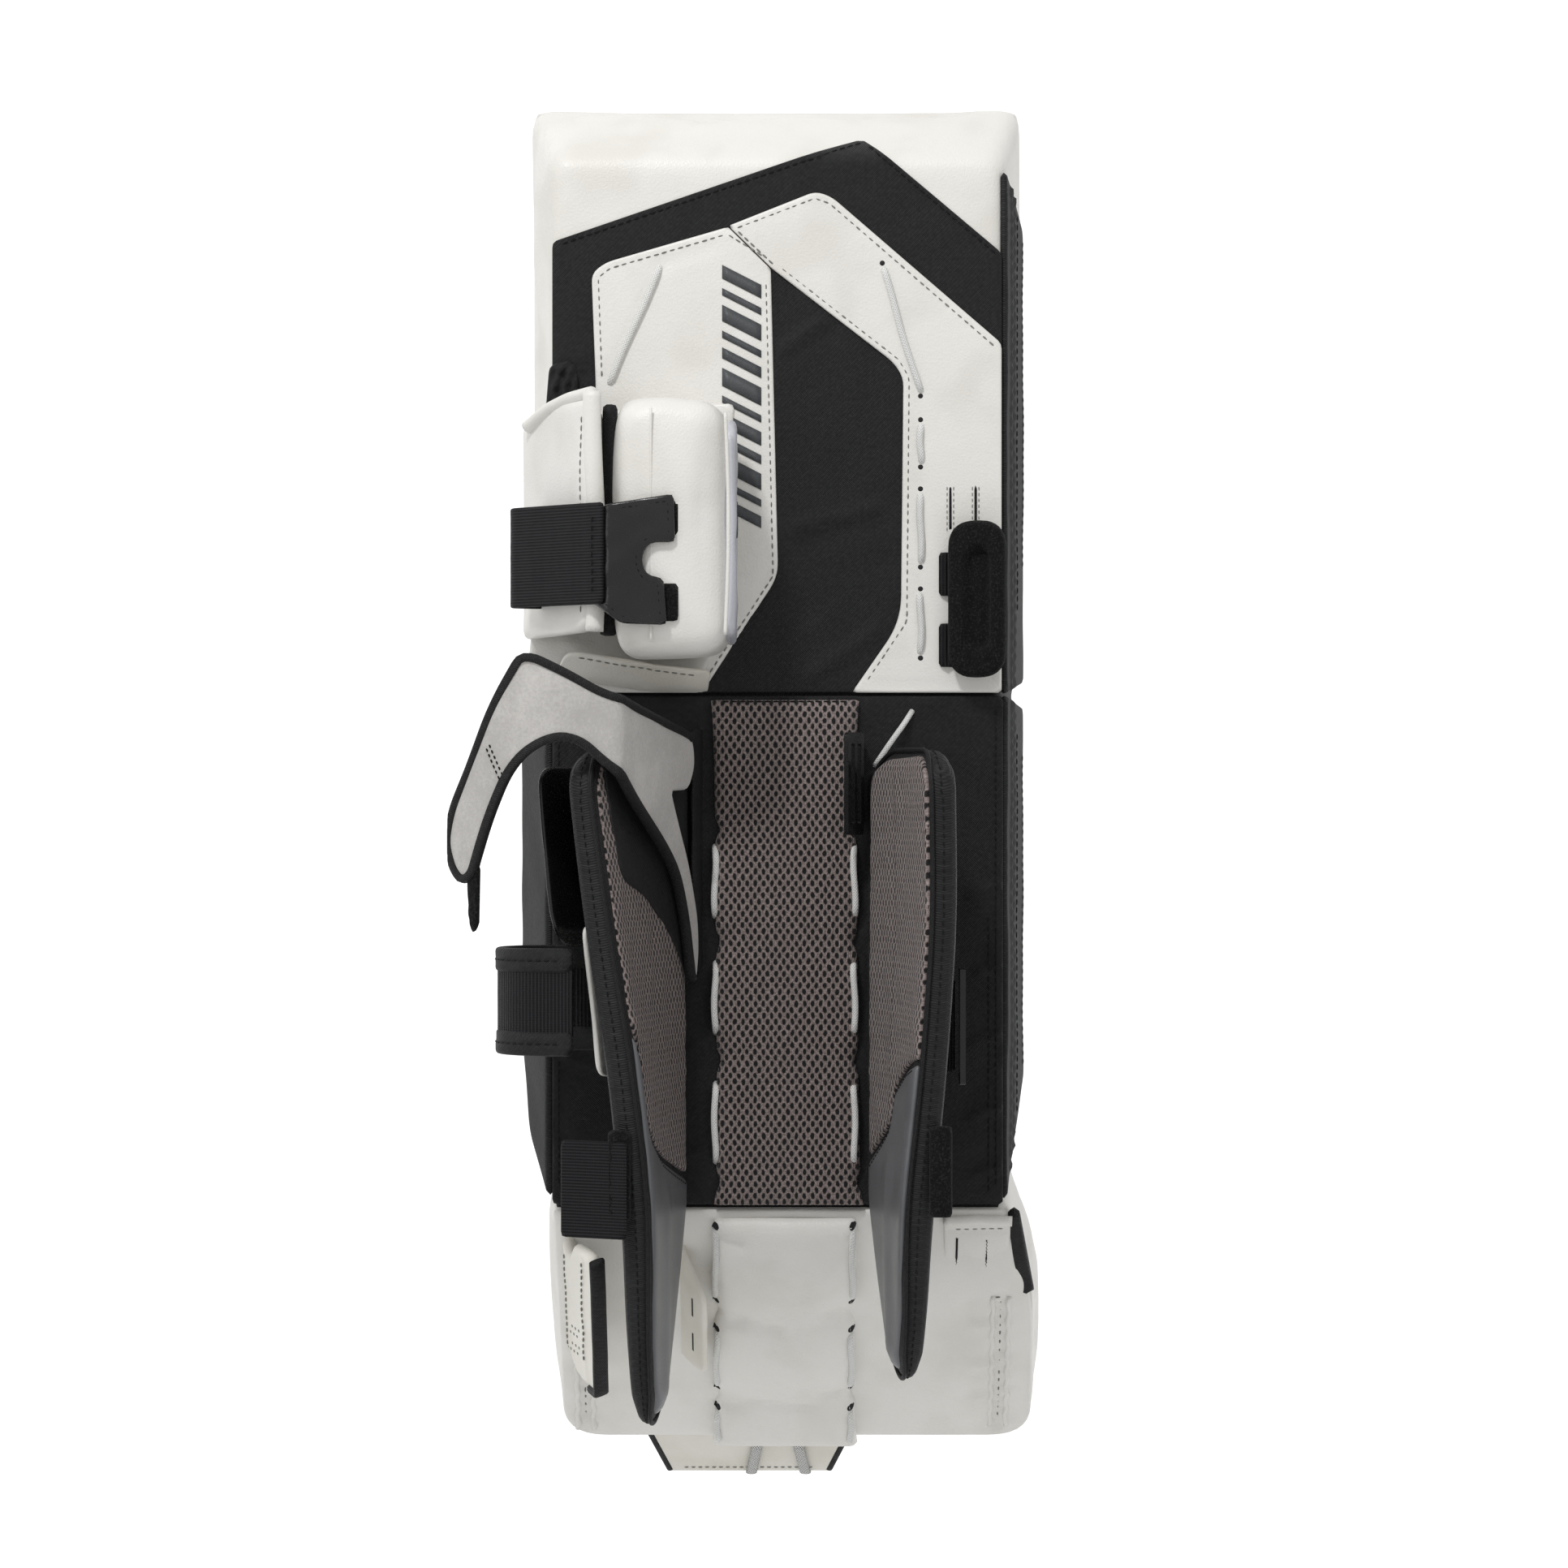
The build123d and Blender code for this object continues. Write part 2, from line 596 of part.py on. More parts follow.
STRAP_LOW, STRAP_HIGH = 186.0, 240.0
elastic = ribbon([(-131, -17), (-147, -24), (-147, -32), (-95.5, -85.5)],
                 STRAP_LOW, STRAP_HIGH, 2.5, 3)
save(elastic, "knee_strap_elastic")
with BuildPart() as strap_tab:
    with BuildSketch(Plane.XZ.offset(83.5)):
        with BuildLine():
            Polyline((-93, 190), (-80, 178), (-59, 178), (-59, 201), (-72, 201), (-76, 212),
                     (-72, 222), (-59, 222), (-59, 244), (-93, 238), close=True)
        make_face()
    extrude(amount=3)
save(strap_tab.part, "knee_strap_tab")
with BuildPart() as strap_hooks:
    with BuildSketch(Plane.XZ.offset(81)):
        with Locations((-65, 189.5), (-65, 233)):
            Rectangle(10, 20)
    extrude(amount=2.4)
save(strap_hooks.part, "knee_strap_hooks")

# ---- Strap catch on the outer side of the knee ----

with BuildPart() as catch_webbing:
    with BuildSketch(Plane.XZ.offset(-YOKE_FACE_Y)):
        with Locations((97, 206), (97, 167)):
            Rectangle(18, 24)
    extrude(amount=2)
save(catch_webbing.part, "strap_catch_webbing")

CATCH_TILT = radians(20)
CATCH = Plane(origin=(92, 2.6, 192), x_dir=(cos(CATCH_TILT), -sin(CATCH_TILT), 0),
              z_dir=(-sin(CATCH_TILT), -cos(CATCH_TILT), 0))
with BuildPart() as catch_pad:
    with BuildSketch(CATCH):
        with Locations((16, 0)):
            RectangleRounded(33, 86, 15)
    extrude(amount=8)
    with BuildSketch(CATCH.offset(8)):
        with Locations((17, 0)):
            RectangleRounded(15, 56, 7)
    extrude(amount=-5, mode=Mode.SUBTRACT)
save(catch_pad.part, "strap_catch_pad")

# ---- Plastic buckles ----


def ladder_buckle(plane, width, length, thickness, slots, slot_width):
    """A flat plastic buckle on a plane, with slots across which webbing passes."""
    with BuildPart() as made:
        with BuildSketch(plane):
            with Locations((width / 2, 0)):
                RectangleRounded(width, length, 2)
            with Locations(*[(x, 0) for x in slots]):
                RectangleRounded(slot_width, length - 12, 1.5, mode=Mode.SUBTRACT)
        extrude(amount=thickness / 2, both=True)
    return made.part


BUCKLE_AT = Vector(42.6, -3.6, 91)
BUCKLE = Plane(origin=BUCKLE_AT, x_dir=(-0.62, -0.785, 0), z_dir=(-0.785, 0.62, 0))
save(ladder_buckle(BUCKLE, 14, 56, 3, (4.2, 9.8), 3.4), "calf_buckle")
save(ribbon([(43.2, 7.1), (43.2, -0.6)], 68, 114, 1.6), "buckle_webbing")

RING = Plane(origin=(95.5, -44, -39), x_dir=(0, -1, 0), z_dir=(1, 0, 0))
save(ladder_buckle(RING, 20, 62, 3, (10,), 9), "wrap_ring")
save(ribbon([(76.3, -45), (92.2, -45)], -64, -14, 1.8), "ring_webbing")
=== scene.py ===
"""Looks for an ice hockey goalie leg pad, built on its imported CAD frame.

Shapes are worked out in millimetres in the frame's axes: +Z up the shin, -Y towards the
goalie's leg, +X to the outer side. Each soft piece is a panel: an outline on a surface with
its own pair of coordinates, filled with a fine mesh and given a padded profile.
"""

import math

import bmesh
import bpy
import numpy as np
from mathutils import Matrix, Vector, bvhtree, geometry


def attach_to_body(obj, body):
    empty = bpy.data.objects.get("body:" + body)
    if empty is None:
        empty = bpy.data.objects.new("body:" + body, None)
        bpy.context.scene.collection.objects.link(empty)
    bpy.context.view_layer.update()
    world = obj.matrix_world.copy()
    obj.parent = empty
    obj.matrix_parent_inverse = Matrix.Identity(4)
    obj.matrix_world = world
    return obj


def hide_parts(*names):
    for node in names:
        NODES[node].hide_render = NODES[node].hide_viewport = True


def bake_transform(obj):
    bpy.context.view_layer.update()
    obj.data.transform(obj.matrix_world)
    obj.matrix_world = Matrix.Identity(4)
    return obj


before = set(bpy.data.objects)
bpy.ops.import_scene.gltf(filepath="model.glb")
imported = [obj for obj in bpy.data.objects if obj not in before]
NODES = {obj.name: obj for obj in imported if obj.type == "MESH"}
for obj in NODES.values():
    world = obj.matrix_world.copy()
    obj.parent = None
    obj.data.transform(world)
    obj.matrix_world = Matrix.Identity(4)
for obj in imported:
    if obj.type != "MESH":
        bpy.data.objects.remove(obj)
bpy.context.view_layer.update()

MM = 0.001
BACK_Y = 8.0
FRONT_Y = 72.0
KNEE_Z = 140.0
BREAK_Z = -142.0
TOP_BACK_Z = 436.0
TOP_SLOPE = 1.6
BOOT_TILT = math.radians(36)
BRIDGE_TILT = math.radians(50)
BOOT_LENGTH = 174.0
BOOT_DEPTH = 56.0
INNER_BACK_X, OUTER_BACK_X = -128.0, 121.0
INNER_FRONT_X, OUTER_FRONT_X = -145.0, 135.0
LEFT_ROOT_X, RIGHT_ROOT_X = -62.0, 55.0
ROOT_Y = -2.0
LACE_X = 37.8
CORNER_SHARE = 0.48  # the most of a side that one rounded corner takes up

# The two bodies that a piece spans, and the points where the bend between them starts and ends.
RING_BEND = ("right_wrap", "wrap_ring", (78, -45, 0), (92, -45, 0))
CATCH_BEND = ("thigh", "strap_catch", (88, 0, 190), (95, 0, 190))
TAB_BEND = ("boot", "outer_tab", (125, 0, 0), (117, 0, 0))


# ---- Outlines ----


def resample(points, step, closed=True):
    """Points spaced evenly along a polyline."""
    points = np.asarray(points, float)
    if closed:
        points = np.vstack([points, points[:1]])
    length = np.concatenate([[0], np.cumsum(np.linalg.norm(np.diff(points, axis=0), axis=1))])
    count = max(3 if closed else 2, int(round(length[-1] / step)) + (0 if closed else 1))
    at = np.linspace(0, length[-1], count, endpoint=not closed)
    return np.stack([np.interp(at, length, points[:, i]) for i in range(points.shape[1])], 1)


def corner_curve(before, here, after, radius, count):
    """Points that round off one corner of a line."""
    first, last = before - here, after - here
    cut = min(radius, CORNER_SHARE * np.linalg.norm(first), CORNER_SHARE * np.linalg.norm(last))
    start = here + first / np.linalg.norm(first) * cut
    end = here + last / np.linalg.norm(last) * cut
    return [(1 - t) ** 2 * start + 2 * t * (1 - t) * here + t**2 * end
            for t in np.linspace(0, 1, count)]


def rounded(corners, radius=6.0):
    """A closed outline with rounded corners. A corner may carry its own radius as a third value."""
    spots = [np.array(corner[:2], float) for corner in corners]
    made = []
    for i, corner in enumerate(corners):
        r = corner[2] if len(corner) > 2 else radius
        made += corner_curve(spots[i - 1], spots[i], spots[(i + 1) % len(spots)], r, 8)
    return np.array(made)


def oblong(x0, z0, x1, z1, radius):
    """A closed rectangle with rounded corners."""
    return rounded([(x0, z0), (x1, z0), (x1, z1), (x0, z1)], radius)


def rounded_open(path, radius):
    """An open polyline with its inner corners rounded."""
    path = np.asarray(path, float)
    made = [path[0]]
    for before, here, after in zip(path[:-2], path[1:-1], path[2:]):
        made += corner_curve(before, here, after, radius, 9)
    made.append(path[-1])
    return np.array(made)


def distance(points, line, closed=True):
    """Distance of each point from a polyline."""
    line = np.asarray(line, float)
    ends = np.roll(line, -1, axis=0) if closed else line[1:]
    starts = line if closed else line[:-1]
    best = np.full(len(points), 1e9)
    for a, b in zip(starts, ends):
        along = b - a
        t = np.clip(((points - a) @ along) / max(along @ along, 1e-9), 0, 1)
        best = np.minimum(best, np.linalg.norm(points - (a + t[:, None] * along), axis=1))
    return best


def inside(points, outline):
    """Which points lie inside a closed outline."""
    x, y = points[:, 0], points[:, 1]
    found = np.zeros(len(points), bool)
    for (x0, y0), (x1, y1) in zip(outline, np.roll(outline, -1, axis=0)):
        if y0 == y1:
            continue
        crossing = ((y0 > y) != (y1 > y)) & (x < (x1 - x0) * (y - y0) / (y1 - y0) + x0)
        found ^= crossing
    return found


def inset(outline, amount):
    """An outline moved inwards, without the points that crowd into its narrow places."""
    ahead, behind = np.roll(outline, -1, axis=0), np.roll(outline, 1, axis=0)
    along = ahead - behind
    normal = np.stack([-along[:, 1], along[:, 0]], 1)
    normal /= np.maximum(np.linalg.norm(normal, axis=1), 1e-9)[:, None]
    area = np.sum(outline[:, 0] * ahead[:, 1] - ahead[:, 0] * outline[:, 1])
    moved = outline + normal * amount * (1 if area > 0 else -1)
    return moved[distance(moved, outline) > 0.97 * amount]


def cross_folds(u, v, lines, height, width):
    """Height of sewn-in wrinkles along short lines ((u0, v0), (u1, v1))."""
    points = np.stack([u, v], 1)
    total = np.zeros(len(u))
    for i, line in enumerate(lines):
        wide = width * (0.8 + 0.4 * math.sin(7.3 * i + 1) ** 2)
        away = distance(points, np.array(line, float), closed=False)
        total += height * (0.6 + 0.4 * math.cos(3.1 * i)) * np.exp(-((away / wide) ** 2))
    return total


def soft(u, v, size, seed):
    """Smooth uneven relief between about -1 and 1, with features of one size."""
    rng = np.random.default_rng(seed)
    total = np.zeros(np.shape(u))
    for _ in range(7):
        angle, phase = rng.uniform(0, 2 * math.pi, 2)
        pitch = 2 * math.pi / (size * rng.uniform(0.7, 1.8))
        total += np.sin(pitch * (u * math.cos(angle) + v * math.sin(angle)) + phase)
    return total / 4


def uneven(height, size, seed):
    """A panel's relief with nothing but soft bumps."""
    return lambda u, v, away: height * soft(u, v, size, seed)


def quarter(d, r):
    """Profile of a rounded edge: 0 at the edge, 1 from r inwards."""
    t = np.clip(d / r, 0, 1)
    return np.sqrt(1 - (1 - t) ** 2)


# ---- Surfaces: each turns (u, v, height) in millimetres into frame coordinates ----


def back(u, v, h):
    """The leg side of the thigh and shin. It bends over the crease at the thigh's top."""
    over = np.maximum(v - TOP_BACK_Z, 0)
    turn = np.clip(over / 3, 0, 1)
    return np.stack([u, BACK_Y + over * TOP_SLOPE - h * (1 - 0.48 * turn), v + 0.85 * h * turn], -1)


def front(u, v, h):
    return np.stack([u, FRONT_Y + h, v], -1)


def boot(u, v, h):
    """The boot's leg side: v runs up the boot and is 0 at the break."""
    s, c = math.sin(BOOT_TILT), math.cos(BOOT_TILT)
    return np.stack([u, BACK_Y - v * s - h * c, BREAK_Z + v * c - h * s], -1)


def bridge(u, v, h):
    """The toe bridge's outer face, below the boot."""
    top = boot(np.zeros(1), np.full(1, -BOOT_LENGTH - 1.2), np.full(1, -6.0))[0]
    s, c = math.sin(BRIDGE_TILT), math.cos(BRIDGE_TILT)
    return np.stack([u, top[1] - v * s - h * c, top[2] + v * c - h * s], -1)


def side_wall(side):
    """A slanted side of the thigh and shin: u runs from the back edge to the front."""
    x0, x1 = (OUTER_BACK_X, OUTER_FRONT_X) if side > 0 else (INNER_BACK_X, INNER_FRONT_X)
    run = np.array([x1 - x0, FRONT_Y - BACK_Y])
    run /= np.linalg.norm(run)
    out = np.array([run[1], -run[0]]) * side

    def place(u, v, h):
        return np.stack([x0 + u * run[0] + h * out[0], BACK_Y + u * run[1] + h * out[1], v], -1)

    return place


def along_path(path, bend=4.0):
    """An upright surface that follows a bent path in plan; u is the distance along it."""
    fine = resample(rounded_open(path, bend), 1.0, closed=False)
    length = np.concatenate([[0], np.cumsum(np.linalg.norm(np.diff(fine, axis=0), axis=1))])
    tangent = np.gradient(fine, axis=0)
    tangent /= np.linalg.norm(tangent, axis=1)[:, None]

    def place(u, v, h):
        at = np.stack([np.interp(u, length, fine[:, i]) for i in (0, 1)], -1)
        run = np.stack([np.interp(u, length, tangent[:, i]) for i in (0, 1)], -1)
        return np.stack([at[..., 0] + h * run[..., 1], at[..., 1] - h * run[..., 0], v], -1)

    place.length = length[-1]
    return place


def facing(y):
    """An upright plane that faces the leg side at one depth."""
    def place(u, v, h):
        return np.stack([u, y - h + 0 * v, v], -1)

    return place


def leaning(root, tip, curl=0.0):
    """A flap that stands on the boot from a root (x, height) to a tip; u runs to the tip."""
    root, tip = np.array(root, float), np.array(tip, float)
    reach = np.linalg.norm(tip - root)
    along = (tip - root) / reach
    out = np.array([along[1], -along[0]])

    def place(u, v, h):
        lift = h + curl * (np.clip(u / reach, 0, 1.3)) ** 2
        return boot(root[0] + u * along[0] + lift * out[0], v, root[1] + u * along[1] + lift * out[1])

    return place


# ---- Materials ----


class Graph:
    """A material and its node tree, written as calls."""

    def __init__(self, name, colour, roughness, **sockets):
        self.material = bpy.data.materials.new(name)
        self.material.use_nodes = True
        self.tree = self.material.node_tree
        self.shader = self.tree.nodes["Principled BSDF"]
        self.shader.inputs["Base Color"].default_value = (*colour, 1)
        self.shader.inputs["Roughness"].default_value = roughness
        for socket, value in sockets.items():
            self.shader.inputs[socket.replace("_", " ")].default_value = value
        self.material.diffuse_color = (*colour, 1)

    def add(self, kind, inputs=(), output=0, **settings):
        node = self.tree.nodes.new("ShaderNode" + kind)
        for key, value in settings.items():
            setattr(node, key, value)
        for key, value in dict(inputs).items():
            if isinstance(value, bpy.types.NodeSocket):
                self.tree.links.new(value, node.inputs[key])
            else:
                node.inputs[key].default_value = value
        return node.outputs[output]

    def maths(self, operation, a, b=0.0, c=0.0):
        return self.add("Math", {0: a, 1: b, 2: c}, operation=operation)

    def vector(self, operation, a, b=(0, 0, 0), output=0):
        return self.add("VectorMath", {0: a, 1: b}, output, operation=operation)

    def solid(self):
        """Object coordinates in millimetres."""
        return self.vector("MULTIPLY", self.add("TexCoord", output=3), (1000, 1000, 1000))

    def split(self, at):
        """A vector's first two coordinates."""
        first = self.add("SeparateXYZ", {0: at})
        return first, self.tree.nodes[-1].outputs[1]

    def weave(self):
        """The panel's own coordinates in millimetres."""
        return self.add("UVMap", uv_map="weave")

    def noise(self, at, size, detail=3.0, roughness=0.55):
        inputs = {"Vector": at, "Scale": 1 / size, "Detail": detail, "Roughness": roughness}
        return self.add("TexNoise", inputs)

    def mix(self, factor, a, b):
        node = self.tree.nodes.new("ShaderNodeMix")
        node.data_type = "RGBA"
        self.tree.links.new(factor, node.inputs["Factor"])
        for key, value in (("A", a), ("B", b)):
            socket = [i for i in node.inputs if i.name == key and i.type == "RGBA"][0]
            if isinstance(value, bpy.types.NodeSocket):
                self.tree.links.new(value, socket)
            else:
                socket.default_value = (*value, 1)
        return [o for o in node.outputs if o.type == "RGBA"][0]

    def ramp(self, value, low, high):
        return self.add("MapRange", {"Value": value, "From Min": low, "From Max": high},
                        interpolation_type="SMOOTHSTEP")

    def colour(self, socket):
        self.tree.links.new(socket, self.shader.inputs["Base Color"])

    def rough(self, socket, low, high):
        made = self.add("MapRange", {"Value": socket, "To Min": low, "To Max": high})
        self.tree.links.new(made, self.shader.inputs["Roughness"])

    def bump(self, height, distance_mm, strength=1.0):
        made = self.add("Bump", {"Height": height, "Distance": distance_mm * MM, "Strength": strength})
        self.tree.links.new(made, self.shader.inputs["Normal"])


def leather(name, colour, stain, roughness, depth=0.12):
    """Synthetic leather: fine cell grain, faint mottling and slightly uneven gloss."""
    g = Graph(name, colour, roughness)
    at, grain = g.solid(), 1.3
    cells = g.add("TexVoronoi", {"Vector": at, "Scale": 1 / grain, "Randomness": 1.0})
    fine = g.noise(at, grain * 0.6)
    broad = g.noise(at, 45, 2.0)
    g.colour(g.mix(g.ramp(broad, 0.42, 0.72), colour, stain))
    g.rough(fine, roughness - 0.08, roughness + 0.1)
    soft_relief = g.maths("MULTIPLY", g.noise(at, 14, 2.0), 1.6)
    g.bump(g.maths("ADD", g.maths("ADD", cells, fine), soft_relief), depth)
    return g.material


def nylon(name, colour, light, pitch=1.25, slant=1.0):
    """Heavy woven nylon: a diagonal twill with soft creases; its ridges are painted paler in patches, a
    painted highlight.
    """
    g = Graph(name, colour, 0.6, Sheen_Weight=0.02, Sheen_Roughness=0.4, Specular_IOR_Level=0.28)
    at = g.weave()
    along, across = g.split(at)
    turn = 2 * math.pi / pitch
    slanted = g.maths("ADD", along, g.maths("MULTIPLY", across, slant))
    line = g.maths("SINE", g.maths("MULTIPLY", slanted, turn))
    rib = g.maths("SINE", g.maths("MULTIPLY", g.maths("SUBTRACT", along, across), turn * 0.5))
    height = g.maths("ADD", line, g.maths("MULTIPLY", rib, 0.4))
    mottle = g.noise(at, 2.2, 2.0)
    # Painted highlight: the twill ridges are mixed towards the paler colour, patchy with noise.
    amount = g.maths("MULTIPLY", g.ramp(height, -0.6, 1.5), g.ramp(mottle, 0.25, 0.75))
    g.colour(g.mix(amount, colour, light))
    creases = g.maths("MULTIPLY", g.noise(at, 9, 3.0), 7.0)
    g.bump(g.maths("ADD", height, creases), 0.1)
    return g.material


def spacer_mesh(name):
    """Thick knitted mesh with staggered oval holes, coloured near-black for the dark layer under the mesh and
    for painted shade inside the holes.
    """
    g = Graph(name, (0.2, 0.165, 0.15), 0.85, Sheen_Weight=0.15, Specular_IOR_Level=0.3)
    at = g.weave()
    wobble = g.vector("SUBTRACT", g.add("TexNoise", {"Vector": at, "Scale": 0.12}, 1), (0.5, 0.5, 0.5))
    at = g.vector("ADD", at, g.vector("MULTIPLY", wobble, (2.2, 2.2, 0)))
    cell = (4.5, 6.6)
    holes = []
    for shift in (0.0, 0.5):
        spot = g.vector("ADD", g.vector("MULTIPLY", at, (1 / cell[0], 1 / cell[1], 0)), (shift, shift, 0))
        spot = g.vector("SUBTRACT", g.vector("FRACTION", spot), (0.5, 0.5, 0))
        spot = g.vector("MULTIPLY", spot, (cell[0] / 1.05, cell[1] / 1.75, 0))
        holes.append(g.vector("LENGTH", spot, output=1))
    hole = g.maths("MINIMUM", *holes)
    open_share = g.ramp(hole, 0.75, 1.15)
    knit = g.maths("SINE", g.maths("MULTIPLY", g.add("SeparateXYZ", {0: at}), 2 * math.pi / 0.9))
    yarn = g.noise(at, 1.0, 2.0)
    threads = g.mix(g.ramp(yarn, 0.3, 0.75), (0.17, 0.137, 0.13), (0.38, 0.31, 0.29))
    # The holes get near-black: the dark layer beneath, and painted shade inside the holes.
    g.colour(g.mix(open_share, (0.008, 0.007, 0.007), threads))
    g.bump(g.maths("ADD", g.maths("MULTIPLY", open_share, 4.0), g.maths("MULTIPLY", knit, 0.35)), 0.35)
    return g.material


def ribbed(name, colour, light, pitch, across=False):
    """Webbing and elastic: even ribs and fine cross threads, with the rib tops painted paler as a painted
    highlight.
    """
    g = Graph(name, colour, 0.6, Specular_IOR_Level=0.2)
    u, v = g.split(g.weave())
    if across:
        u, v = v, u
    rib = g.maths("SINE", g.maths("MULTIPLY", u, 2 * math.pi / pitch))
    thread = g.maths("SINE", g.maths("MULTIPLY", v, 2 * math.pi / (pitch * 0.45)))
    height = g.maths("ADD", rib, g.maths("MULTIPLY", thread, 0.4))
    # Painted highlight: the rib tops are mixed towards the paler colour.
    g.colour(g.mix(g.ramp(height, -0.2, 1.4), colour, light))
    g.bump(height, 0.25)
    return g.material


def pile(name, colour, light):
    """Hook and loop tape."""
    g = Graph(name, colour, 0.95, Sheen_Weight=0.05, Specular_IOR_Level=0.15)
    loops = g.noise(g.solid(), 1.1, 4.0, 0.7)
    g.colour(g.mix(g.ramp(loops, 0.45, 0.75), colour, light))
    g.bump(loops, 0.6)
    return g.material


def suede_leather(name):
    g = Graph(name, (0.42, 0.4, 0.385), 0.95, Sheen_Weight=0.35, Sheen_Roughness=0.5)
    at = g.solid()
    nap = g.noise(at, 1.6, 5.0, 0.65)
    patches = g.noise(at, 28, 3.0)
    both = g.maths("ADD", g.maths("MULTIPLY", nap, 0.5), g.maths("MULTIPLY", patches, 0.6))
    g.colour(g.mix(g.ramp(both, 0.38, 0.75), (0.46, 0.445, 0.425), (0.62, 0.6, 0.575)))
    g.bump(nap, 0.25)
    return g.material


def braid(name, colour, groove_colour):
    """Round braided cord: crossing strands that follow the cord's own coordinates."""
    g = Graph(name, colour, 0.7)
    u, v = g.split(g.weave())
    strands = []
    for way in (1.0, -1.0):
        lean = g.maths("ADD", g.maths("MULTIPLY", u, way), v)
        strands.append(g.maths("SINE", g.maths("MULTIPLY", lean, 2 * math.pi / 1.6)))
    height = g.maths("MAXIMUM", *strands)
    # Strand tops take the cord colour and the grooves the second colour: painted shade for the white lace,
    # the lace's own black thread for the dotted lace.
    g.colour(g.mix(g.ramp(height, -0.2, 0.7), groove_colour, colour))
    g.bump(height, 0.2)
    return g.material


def plastic(name, colour, roughness):
    g = Graph(name, colour, roughness)
    scuff = g.noise(g.solid(), 3.0, 4.0)
    g.rough(scuff, roughness - 0.06, roughness + 0.14)
    return g.material


WHITE = leather("white_leather", (0.83, 0.815, 0.775), (0.77, 0.75, 0.70), 0.42)
CREAM = leather("cream_leather", (0.80, 0.78, 0.71), (0.73, 0.70, 0.62), 0.45)
GREY = leather("grey_leather", (0.14, 0.143, 0.152), (0.11, 0.112, 0.12), 0.36, depth=0.06)
SILVER = leather("silver_leather", (0.6, 0.61, 0.66), (0.5, 0.51, 0.55), 0.34)
GLOSSY = leather("black_leather", (0.008, 0.008, 0.008), (0.013, 0.013, 0.013), 0.26, depth=0.03)
BLACK = nylon("black_nylon", (0.009, 0.009, 0.0095), (0.036, 0.036, 0.038))
TAPE = nylon("binding_tape", (0.007, 0.007, 0.008), (0.03, 0.03, 0.033), 1.0, 0.0)
MESH = spacer_mesh("spacer_mesh")
SUEDE = suede_leather("suede")
WEBBING = ribbed("webbing", (0.006, 0.006, 0.007), (0.03, 0.03, 0.033), 2.0)
ELASTIC = ribbed("elastic", (0.006, 0.006, 0.007), (0.03, 0.03, 0.034), 1.6, across=True)
HOOK = pile("hook_tape", (0.005, 0.005, 0.005), (0.03, 0.03, 0.03))
# Its greyer groove colour is painted shade between the strands.
LACE = braid("white_lace", (0.9, 0.9, 0.88), (0.72, 0.72, 0.7))
DOTTED = braid("dotted_lace", (0.85, 0.85, 0.83), (0.02, 0.02, 0.02))
PLASTIC = plastic("black_plastic", (0.01, 0.01, 0.011), 0.24)
# White thread coloured grey: painted shade of the stitches and their holes.
SHADE_GREY_THREAD = ribbed("shade_grey_thread", (0.46, 0.45, 0.41), (0.62, 0.6, 0.56), 0.6)
# Dark thread for the stitches; also used on hole discs and slits as painted shade in the openings.
DARK_THREAD_AND_HOLE_SHADE = ribbed("dark_thread_and_hole_shade", (0.02, 0.02, 0.022), (0.06, 0.06, 0.065), 0.6)
PRINT = leather("grey_print", (0.07, 0.075, 0.08), (0.05, 0.055, 0.06), 0.5)


# ---- Meshes ----

MERGE = 0.02
BINDING_CORNERS, BINDING_POWER = 12, 0.6
SWELL_PRESSURE, SWELL_FRAMES, INWARD_TAKEN_OUT = 4.0, 18, 0.8


def attach(piece, body):
    """Ties a piece to its body; a piece between two bodies only has its transform baked."""
    if isinstance(body, tuple):
        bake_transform(piece)
    elif body:
        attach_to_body(piece, body)
    return piece


def new_piece(name, points, faces, material, body, uv=None):
    """A mesh in the frame's axes from millimetre points, tied to a body."""
    mesh = bpy.data.meshes.new(name)
    mesh.from_pydata([tuple(p) for p in np.asarray(points) * MM], [], faces)
    if uv is not None:
        layer = mesh.uv_layers.new(name="weave")
        corners = np.zeros(len(mesh.loops), int)
        mesh.loops.foreach_get("vertex_index", corners)
        layer.data.foreach_set("uv", np.asarray(uv, float)[corners].astype(np.float32).ravel())
    mesh.materials.append(material)
    mesh.validate()
    mesh.shade_smooth()
    piece = bpy.data.objects.new(name, mesh)
    bpy.context.scene.collection.objects.link(piece)
    return attach(piece, body)


def tidy_normals(piece):
    """Joins vertices that meet and turns every face outwards."""
    work = bmesh.new()
    work.from_mesh(piece.data)
    bmesh.ops.remove_doubles(work, verts=work.verts, dist=MERGE * MM)
    bmesh.ops.recalc_face_normals(work, faces=work.faces)
    work.to_mesh(piece.data)
    work.free()
    return piece


